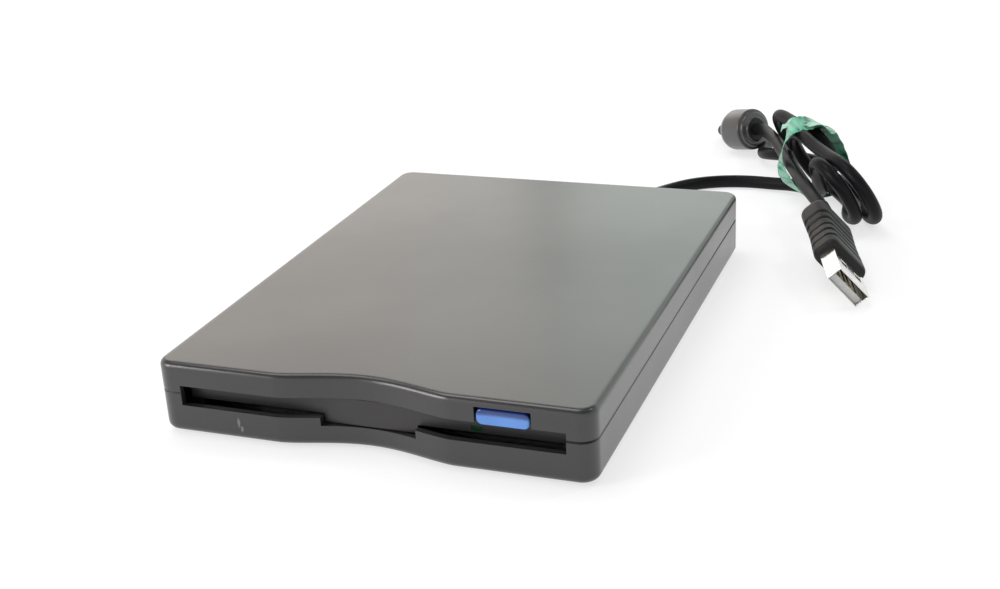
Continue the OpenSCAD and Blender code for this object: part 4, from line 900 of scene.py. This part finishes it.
def hank_route():
    """Centreline of the hank: three leaning turns, each one run spacing behind the last."""
    size = setting("cable")
    high, pitch, out = 2 * size.fold / MM, size.pitch / MM / math.sin(LEAN), STRAND_RISE / math.sin(LEAN)
    twice = 2 * pitch
    return np.vstack([
        hank_run((2, 24), (0, 0), (0, high), 5), hank_fold(24, 0, (high, 0), 1),
        hank_run((24, 12), (0, pitch), (0, 0), 3), hank_run((12, -2), (pitch, pitch), (0, 0), 3),
        hank_fold(-2, pitch, (0, high), -1), hank_run((-2, 26), (pitch, pitch), (high, high), 5),
        hank_fold(26, pitch, (high, 0), 1), hank_run((26, 12), (pitch, twice), (0, 0), 3),
        hank_run((12, -26), (twice, twice), (0, 0), 6), hank_fold(-26, twice, (0, high), -1),
        hank_run((-26, -6), (twice, twice), (high, high), 4), hank_fold(-6, twice, (high, out), 1),
        hank_point([-6], twice, out), hank_point([-6], twice, out) - 4 * U,
    ])


def through(points, steps, closed=False):
    """Catmull-Rom curve: each span is the cubic whose end slopes are half the chord of its neighbours."""
    p = np.asarray(points, float)
    if closed:
        q = np.vstack([p[-1:], p, p[:2]])
    else:
        q = np.vstack([2 * p[:1] - p[1:2], p, 2 * p[-1:] - p[-2:-1]])
    t = (np.arange(steps) / steps)[None, :, None]
    a, b, c, d = (q[i:len(q) - 3 + i, None] for i in range(4))
    square, cube = 2 * a - 5 * b + 4 * c - d, 3 * b - a - 3 * c + d
    curve = 0.5 * (2 * b + t * (c - a) + t ** 2 * square + t ** 3 * cube).reshape(-1, p.shape[1])
    return curve if closed else np.vstack([curve, p[-1:]])


def evenly(points, step):
    """The same curve with points a fixed step apart, and its length."""
    reach = reach_along(points)
    at = np.linspace(0, reach[-1], int(round(reach[-1] / step)) + 1)
    return np.stack([np.interp(at, reach, column) for column in points.T], -1), reach[-1]


def cable_route():
    """Whole centreline in metres, from the gland through the hank and the bead to the plug, and its length.

    The curve is eased by passes that move each point halfway to the mean of its neighbours."""
    axis = -plug_place()[:3, 1]
    rear = np.array(PLUG_TIP) - sum(PLUG_PARTS) * axis
    lead, half = np.array(LEAD), setting("cable").bead_length / MM / 2
    points = np.vstack([
        lead[:1], lead[:1] + (0, 2, 0), lead[1:], hank_route(), TAIL,
        [BEAD_AT + BEAD_AXIS * reach for reach in (-half - 3, -half, 0, half, half + 3)],
        STRAND, [rear - 3 * axis, rear, rear + 3 * axis],
    ])
    path, _ = evenly(through(points, 8) * MM, CABLE_STEP)
    for _ in range(EASING_PASSES):
        path[1:-1] = (path[:-2] + 2 * path[1:-1] + path[2:]) / 4
    return evenly(path, CABLE_STEP)


def carried_frames(path):
    """Two unit vectors square to the path at each point, carried along it without twist."""
    way = unit(np.gradient(path, axis=0))
    side = np.cross(way[0], UP)
    sides = []
    for w in way:
        side = unit(side - w * (side @ w))
        sides.append(side)
    return np.array(sides), np.cross(way, sides)


def tube(name, path, radius, sides=20):
    """Round tube: at each point of the path, a circle of that radius on the two carried vectors."""
    a, b = carried_frames(path)
    turn = np.linspace(0, 2 * math.pi, sides, endpoint=False)[None, :, None]
    grid = path[:, None] + radius * (np.cos(turn) * a[:, None] + np.sin(turn) * b[:, None])
    return swept(name, grid, along=reach_along(path) * 100)


def plug_place(scale=1.0):
    """4x4 matrix that puts a piece drawn from its tip along +Y where the plug lies, its place times a scale."""
    yaw, pitch, roll_over = (math.radians(a) for a in PLUG_TURN)
    turn = Matrix.Rotation(yaw, 4, "Z") @ Matrix.Rotation(pitch, 4, "X") @ Matrix.Rotation(roll_over, 4, "Y")
    place = np.array(Matrix.Translation(PLUG_TIP) @ turn)
    place[:3, 3] *= scale
    return place


class DRIVE_OT_cable(bpy.types.Operator):
    """Lays the cable from its gland through the hank and bead to the plug, with its tie, gland and plug"""

    bl_idname = "drive.cable"
    bl_label = "Cable, bead, tie and plug"

    def execute(self, context):
        size = setting("cable")
        path, reach = cable_route()
        cable = smooth(tube("cable", path, size.diameter / 2), 60)
        nodes = ("cord_lead", "cord_hank", "cord_tail", "cord_strand")
        settle_piece(cable, "case", "cable_black", "cable", *nodes)
        make_gland()
        parts = [make_bead(), make_tie(), *make_plug()]
        return {"FINISHED"}


def make_gland():
    """Stepped, tapered gland, turned about the cable's exit."""
    profile = np.array(GLAND_ROWS) + (0, 71)
    place = frame_along((GLAND_AT[0], 0, GLAND_AT[2]), (0, 1, 0))
    gland = smooth(revolved("gland", rounded(profile * MM, 0.22 * MM), place, 56), 50)
    return settle_piece(gland, "case", "moulded_black", "grip", "cable_gland")


def make_bead():
    """Moulded grey bead on the cable, stepped at its near end, whose last rim is black."""
    size = setting("cable")
    r, length = size.bead / 2 / MM, size.bead_length / MM
    profile = [
        (0.02, 0), (r - 2.6, 0), (r - 0.9, 0.6), (r, 2.4), (r, length - 2), (r - 1.1, length - 1.7),
        (r - 1.3, length - 1), (r - 3, length - 0.9), (r - 3.2, length), (0.02, length),
    ]
    place = frame_along((BEAD_AT - BEAD_AXIS * length / 2) * MM, BEAD_AXIS)
    bead = smooth(revolved("ferrite_moulding", rounded(np.array(profile) * MM, 0.5 * MM, 7), place, 80), 50)
    settle_piece(bead, "case", "moulded_black", "bead", "ferrite_bead")
    bead.data.materials.append(FINISH["grip"])
    middle = np.empty(3 * len(bead.data.polygons))
    bead.data.polygons.foreach_get("center", middle)
    along = (middle.reshape(-1, 3) / MM - BEAD_AT) @ BEAD_AXIS
    bead.data.polygons.foreach_set("material_index", (along > length / 2 - 0.4).astype(np.int32))
    return bead


def ribbon(name, centre, across, out, width, thick):
    """Closed flat band: at each point of a path, a lens-shaped section of the given width and thickness."""
    turn = np.linspace(0, 2 * math.pi, 12, endpoint=False)[None, :, None]
    flat = np.sign(np.cos(turn)) * np.abs(np.cos(turn)) ** 0.8 * width[:, None, None] / 2
    grid = centre[:, None] + flat * across[:, None] + np.sin(turn) * thick / 2 * out[:, None]
    return swept(name, grid, along=reach_along(centre) * 100)


def make_tie():
    """Flat green tie round every run of the hank, twisted shut at the top with two crinkled ends.

    The band wanders along the hank by slip, leans as it rises, and ripples in width."""
    size = setting("cable")
    loop = through(TIE_LOOP, 10, closed=True)
    turn = np.linspace(0, 2 * math.pi, len(loop), endpoint=False)
    slip = 0.35 * np.sin(turn * 2) + 0.25 * np.sin(turn * 5 + 1)
    centre = at_hank(-2 + slip[:, None], loop[:, :1], loop[:, 1:]) * MM
    way = unit(np.roll(centre, -1, 0) - np.roll(centre, 1, 0))
    lean = (0.5 * np.sin(turn * 3 + 0.5) * np.clip(loop[:, 1] / 8, 0, 1))[:, None]
    across = U * np.cos(lean) + np.cross(way, U) * np.sin(lean)
    wide = size.tie_width * (1 + 0.35 * np.clip(loop[:, 1] / 10 - 0.6, 0, 1) + 0.06 * np.sin(turn * 31))
    again = np.arange(len(loop) + 1) % len(loop)
    band = ribbon("tie_band", centre[again], across[again], np.cross(way, across)[again], wide[again], 0.5 * MM)
    ends = []
    for points in TIE_ENDS:
        end = through(points, 12)
        path = at_hank(end[:, :1], end[:, 1:2], end[:, 2:]) * MM
        t = np.linspace(0, 1, len(path))
        way = unit(np.gradient(path, axis=0))
        side = unit(U - way * (way @ U)[:, None])
        tilt = (0.45 * np.sin(9 * t) * t)[:, None]
        flat = side * np.cos(tilt) + np.cross(way, side) * np.sin(tilt)
        wide = size.tie_width * (0.35 + 0.65 * np.clip(3 * t, 0, 1) + 0.07 * np.sin(34 * t))
        ends.append(ribbon("tie_end", path, flat, np.cross(way, flat), wide, 0.32 * MM))
    joined(band, ends)
    return settle_piece(smooth(band, 50), "case", "tie_green", "tie", "cord_tie")


def make_plug():
    """Overmoulded grip with cross ribs, the folded metal shell, its insulator and four contacts."""
    shell, grip, neck = PLUG_PARTS
    half_thin, half_broad, corner, neck_radius = 4.0, 7.75, 2.6, 3.4
    groove_deep, groove_pitch, notch_pitch, waist_deep = 0.45, 3.4, 2.6, 0.5
    y = np.linspace(0, grip, 101)
    ends = 1 - np.clip(np.minimum(y, grip - y) / 1.2, 0, 1) ** 0.5
    groove = groove_deep * np.clip(np.cos((y - 4.6) * 2 * math.pi / groove_pitch) * 2.2 - 1.0, 0, 1)
    groove *= (y > 3.2) & (y < grip - 4)
    waist = waist_deep * np.exp(-((y - 12) / 7) ** 2)
    thin, broad = half_thin - 0.35 * ends - groove - 0.3 * waist, half_broad - 0.5 * ends - groove - waist
    rows = [(shell + at, half_x, half_z, corner) for at, half_x, half_z in zip(y, thin, broad)]
    t = np.linspace(0, 1, 49)[1:]
    notch = (np.cos(t * neck * 2 * math.pi / notch_pitch) > 0.2) & (t > 0.18) & (t < 0.86)
    radii = neck_radius - 0.9 * t ** 0.8 - groove_deep * notch
    rows += [(shell + grip + neck * at, r, r, r) for at, r in zip(t, radii)]
    body = smooth(lofted("plug_grip_moulding", np.array(rows) * MM, plug_place(MM)), 50)
    settle_piece(body, "case", "moulded_black", "grip", "plug_grip")
    can = broken_edges(node_copy("connector_shell", "plug_shell"), 0.14 * MM, segments=3)
    settle_piece(can, "case", "plug_steel", "nickel", "plug_shell")
    core = broken_edges(node_copy("connector_insulator", "plug_tongue"), 0.1 * MM)
    settle_piece(core, "case", "tongue_white", "tongue", "plug_tongue")
    rows = np.array([(1.2, 0.06, 0.5, 0.05), (9.6, 0.06, 0.5, 0.05)]) * MM
    strips = [
        lofted("contact", rows, plug_place(MM) @ np.array(Matrix.Translation((0.02 * MM, 0, x * MM))))
        for x in (-3.5, -1.0, 1.0, 3.5)
    ]
    contacts = joined(strips[0], strips[1:])
    contacts.name = "connector_contacts"
    settle_piece(smooth(contacts), "case", "plug_steel", "gold")
    return [body, can, core, contacts]


# ---- inside ----

# the CAD nodes that keep their own mesh, by finish
NODES_BY_FINISH = {
    "rubber": "rubber_feet",
    "screw": "case_screws frame_screws",
    "plated": "mechanism_frame eject_slide shutter_lever",
    "lid": "mechanism_lid disk_carrier",
    "spring": "flap_spring slide_springs lever_spring",
    "pin": "carrier_pins lever_pivot spindle_shaft hub_plate lead_screw carriage_rod arm_pivot",
    "board": "stator_board main_board bridge_board",
    "chips": "main_chips bridge_chips",
    "carriage": "head_carriage upper_arm",
    "ceramic": "lower_head upper_head",
    "copper": "stator_coils",
    "bronze": "spindle_bearing",
    "rotor": "rotor",
    "can": "stepper_motor",
    "film": "ribbon_cable",
    "lamp": "indicator_lamp",
    "insulation": "cable_wires",
}


class DRIVE_OT_mechanism(bpy.types.Operator):
    """Gives the mechanism, the boards, the feet and the screws their finishes"""

    bl_idname = "drive.mechanism"
    bl_label = "Mechanism finishes"

    def execute(self, context):
        for finish, names in NODES_BY_FINISH.items():
            for name in names.split():
                finish_node(name, FINISH[finish])
        return {"FINISHED"}


# ---- stage ----

CAMERA_COLUMNS = ((0.93683, 0.34563, -0.05383), (-0.08601, 0.37676, 0.92231), (0.33905, -0.85942, 0.38268))
CAMERA_AT = (0.133159, -0.324413, 0.155270)
CAMERA_LENS = 53.06
WHITE = (1, 1, 1, 1)
# name, place, target, size, power and tint of each lamp
LAMPS = [
    ("soft box above", (-0.3, 0.1, 0.95), (0, 0.03, 0), 0.5, 2.4),
    ("warm box behind", (-0.62, 0.9, 0.46), (0, 0, 0.02), 0.6, 1.05, (1, 0.95, 0.89)),
    ("cool box behind", (-0.08, 1.05, 0.46), (0, 0, 0.02), 0.5, 0.74, (0.92, 1, 0.94)),
    ("soft box in front", (-0.72, -0.66, 0.46), (0, 0, 0), 0.42, 4.4),
    ("small lamp", (0.5, 0.3, 0.8), (0, 0, 0), 0.12, 0.7),
]


def background_mix(tree, seen, lit):
    """Mixes two shaders: one for camera, glossy and transmission rays, the other for the light on things."""
    rays = tree.nodes.new("ShaderNodeLightPath").outputs
    direct = math_node(tree, "MAXIMUM", rays["Is Glossy Ray"], rays["Is Transmission Ray"])
    direct = math_node(tree, "MAXIMUM", rays["Is Camera Ray"], direct)
    return wired(tree, "ShaderNodeMixShader", (direct, lit, seen))[0]


def shader_tree(owner):
    """The emptied node tree of a material or world."""
    owner.use_nodes = True
    owner.node_tree.nodes.clear()
    return owner.node_tree


def lamp(name, at, target, size, power, tint=(1, 1, 1)):
    """Square area lamp aimed at a point."""
    data = bpy.data.lights.new(name, "AREA")
    data.size, data.energy, data.color = size, power, tint
    place = frame_along(at, np.subtract(at, target), (0.01, 0.02, 1))
    linked(name, data).matrix_world = Matrix(place.tolist())


class DRIVE_OT_stage(bpy.types.Operator):
    """Sets the pale floor, the studio round it, the soft lamps and the camera"""

    bl_idname = "drive.stage"
    bl_label = "Floor, lamps and camera"

    def execute(self, context):
        self.lay_floor()
        self.set_world(context.scene)
        for row in LAMPS:
            lamp(*row)
        data = bpy.data.cameras.new("camera")
        data.lens, data.sensor_width, data.sensor_fit = CAMERA_LENS, 36.0, "HORIZONTAL"
        data.clip_start = 0.01
        camera = linked("camera", data)
        place = np.eye(4)
        place[:3] = np.column_stack([*CAMERA_COLUMNS, CAMERA_AT])
        camera.matrix_world = Matrix(place.tolist())
        context.scene.camera = camera
        context.scene.view_settings.view_transform = "Standard"
        return {"FINISHED"}

    def lay_floor(self):
        """Large pale floor that glows faintly to the camera and keeps the shadows."""
        t = np.linspace(-1, 1, 3) * 2.5
        grid = np.stack(np.meshgrid(t, t, [-0.02 * MM], indexing="ij"), -1).reshape(-1, 3)
        quads = [(k, k + 3, k + 4, k + 1) for k in (0, 1, 3, 4)]
        floor = new_piece("floor", grid, quads)
        made = bpy.data.materials.new("pale floor")
        tree = shader_tree(made)
        diffuse = node(tree, "ShaderNodeBsdfDiffuse", Color=(0.42, 0.42, 0.42, 1)).outputs[0]
        glow = node(tree, "ShaderNodeEmission", Color=WHITE, Strength=0.66).outputs[0]
        added = wired(tree, "ShaderNodeAddShader", (diffuse, glow))[0]
        plain = node(tree, "ShaderNodeBsdfDiffuse", Color=(0.8, 0.8, 0.8, 1)).outputs[0]
        wired(tree, "ShaderNodeOutputMaterial", [background_mix(tree, added, plain)])
        floor.data.materials.append(made)

    def set_world(self, scene):
        """White to the camera, tinted walls and a dark ceiling in reflections, and an even light otherwise."""
        scene.world = bpy.data.worlds.new("studio")
        tree = shader_tree(scene.world)
        rays = tree.nodes.new("ShaderNodeTexCoord").outputs["Generated"]
        way = node(tree, "ShaderNodeSeparateXYZ", Vector=rays).outputs
        walls = blend_colour(tree, ramp(tree, way[0], -0.5, -0.15), (1, 0.93, 0.87), (0.9, 1, 0.95))
        ceiling = ramp(tree, way[2], 0.42, 0.7, 0.95, 0.08)
        seen, lit, white = (
            node(tree, "ShaderNodeBackground", Color=tint, Strength=strength).outputs[0]
            for tint, strength in ((walls, ceiling), (WHITE, 0.52), (WHITE, 1.0))
        )
        direct = tree.nodes.new("ShaderNodeLightPath").outputs["Is Camera Ray"]
        mix = wired(tree, "ShaderNodeMixShader", (direct, background_mix(tree, seen, lit), white))[0]
        wired(tree, "ShaderNodeOutputWorld", [mix])


# ---- panel ----

class DRIVE_PT_pieces(bpy.types.Panel):
    """Lists the sizes, the finishes and the operators that make each group of pieces"""

    bl_label = "Floppy drive"
    bl_space_type = "VIEW_3D"
    bl_region_type = "UI"
    bl_category = "Floppy Drive"

    def draw(self, context):
        for kind in SETTINGS:
            box = self.layout.box()
            for name in SETTINGS[kind].__annotations__:
                box.prop(setting(kind), name)
        for operator in OPERATORS:
            self.layout.operator(operator.bl_idname)


OPERATORS = (DRIVE_OT_stage, DRIVE_OT_cable, DRIVE_OT_case, DRIVE_OT_front, DRIVE_OT_mechanism)
CLASSES = (*SETTINGS.values(), *OPERATORS, DRIVE_PT_pieces)


def register():
    """Registers the classes and hangs the sizes and finishes on the scene."""
    for each in CLASSES:
        bpy.utils.register_class(each)
    for kind, group_of in SETTINGS.items():
        setattr(bpy.types.Scene, "drive_" + kind, bpy.props.PointerProperty(type=group_of))


def unregister():
    """Takes the sizes, the finishes and the classes away again."""
    for kind in SETTINGS:
        delattr(bpy.types.Scene, "drive_" + kind)
    for each in reversed(CLASSES):
        bpy.utils.unregister_class(each)


def main():
    """Registers the classes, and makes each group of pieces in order."""
    register()
    make_finishes()
    bpy.ops.drive.stage()
    bpy.ops.drive.cable()
    bpy.ops.drive.case()
    bpy.ops.drive.front()
    bpy.ops.drive.mechanism()
    bpy.context.view_layer.update()


if __name__ == "__main__":
    main()
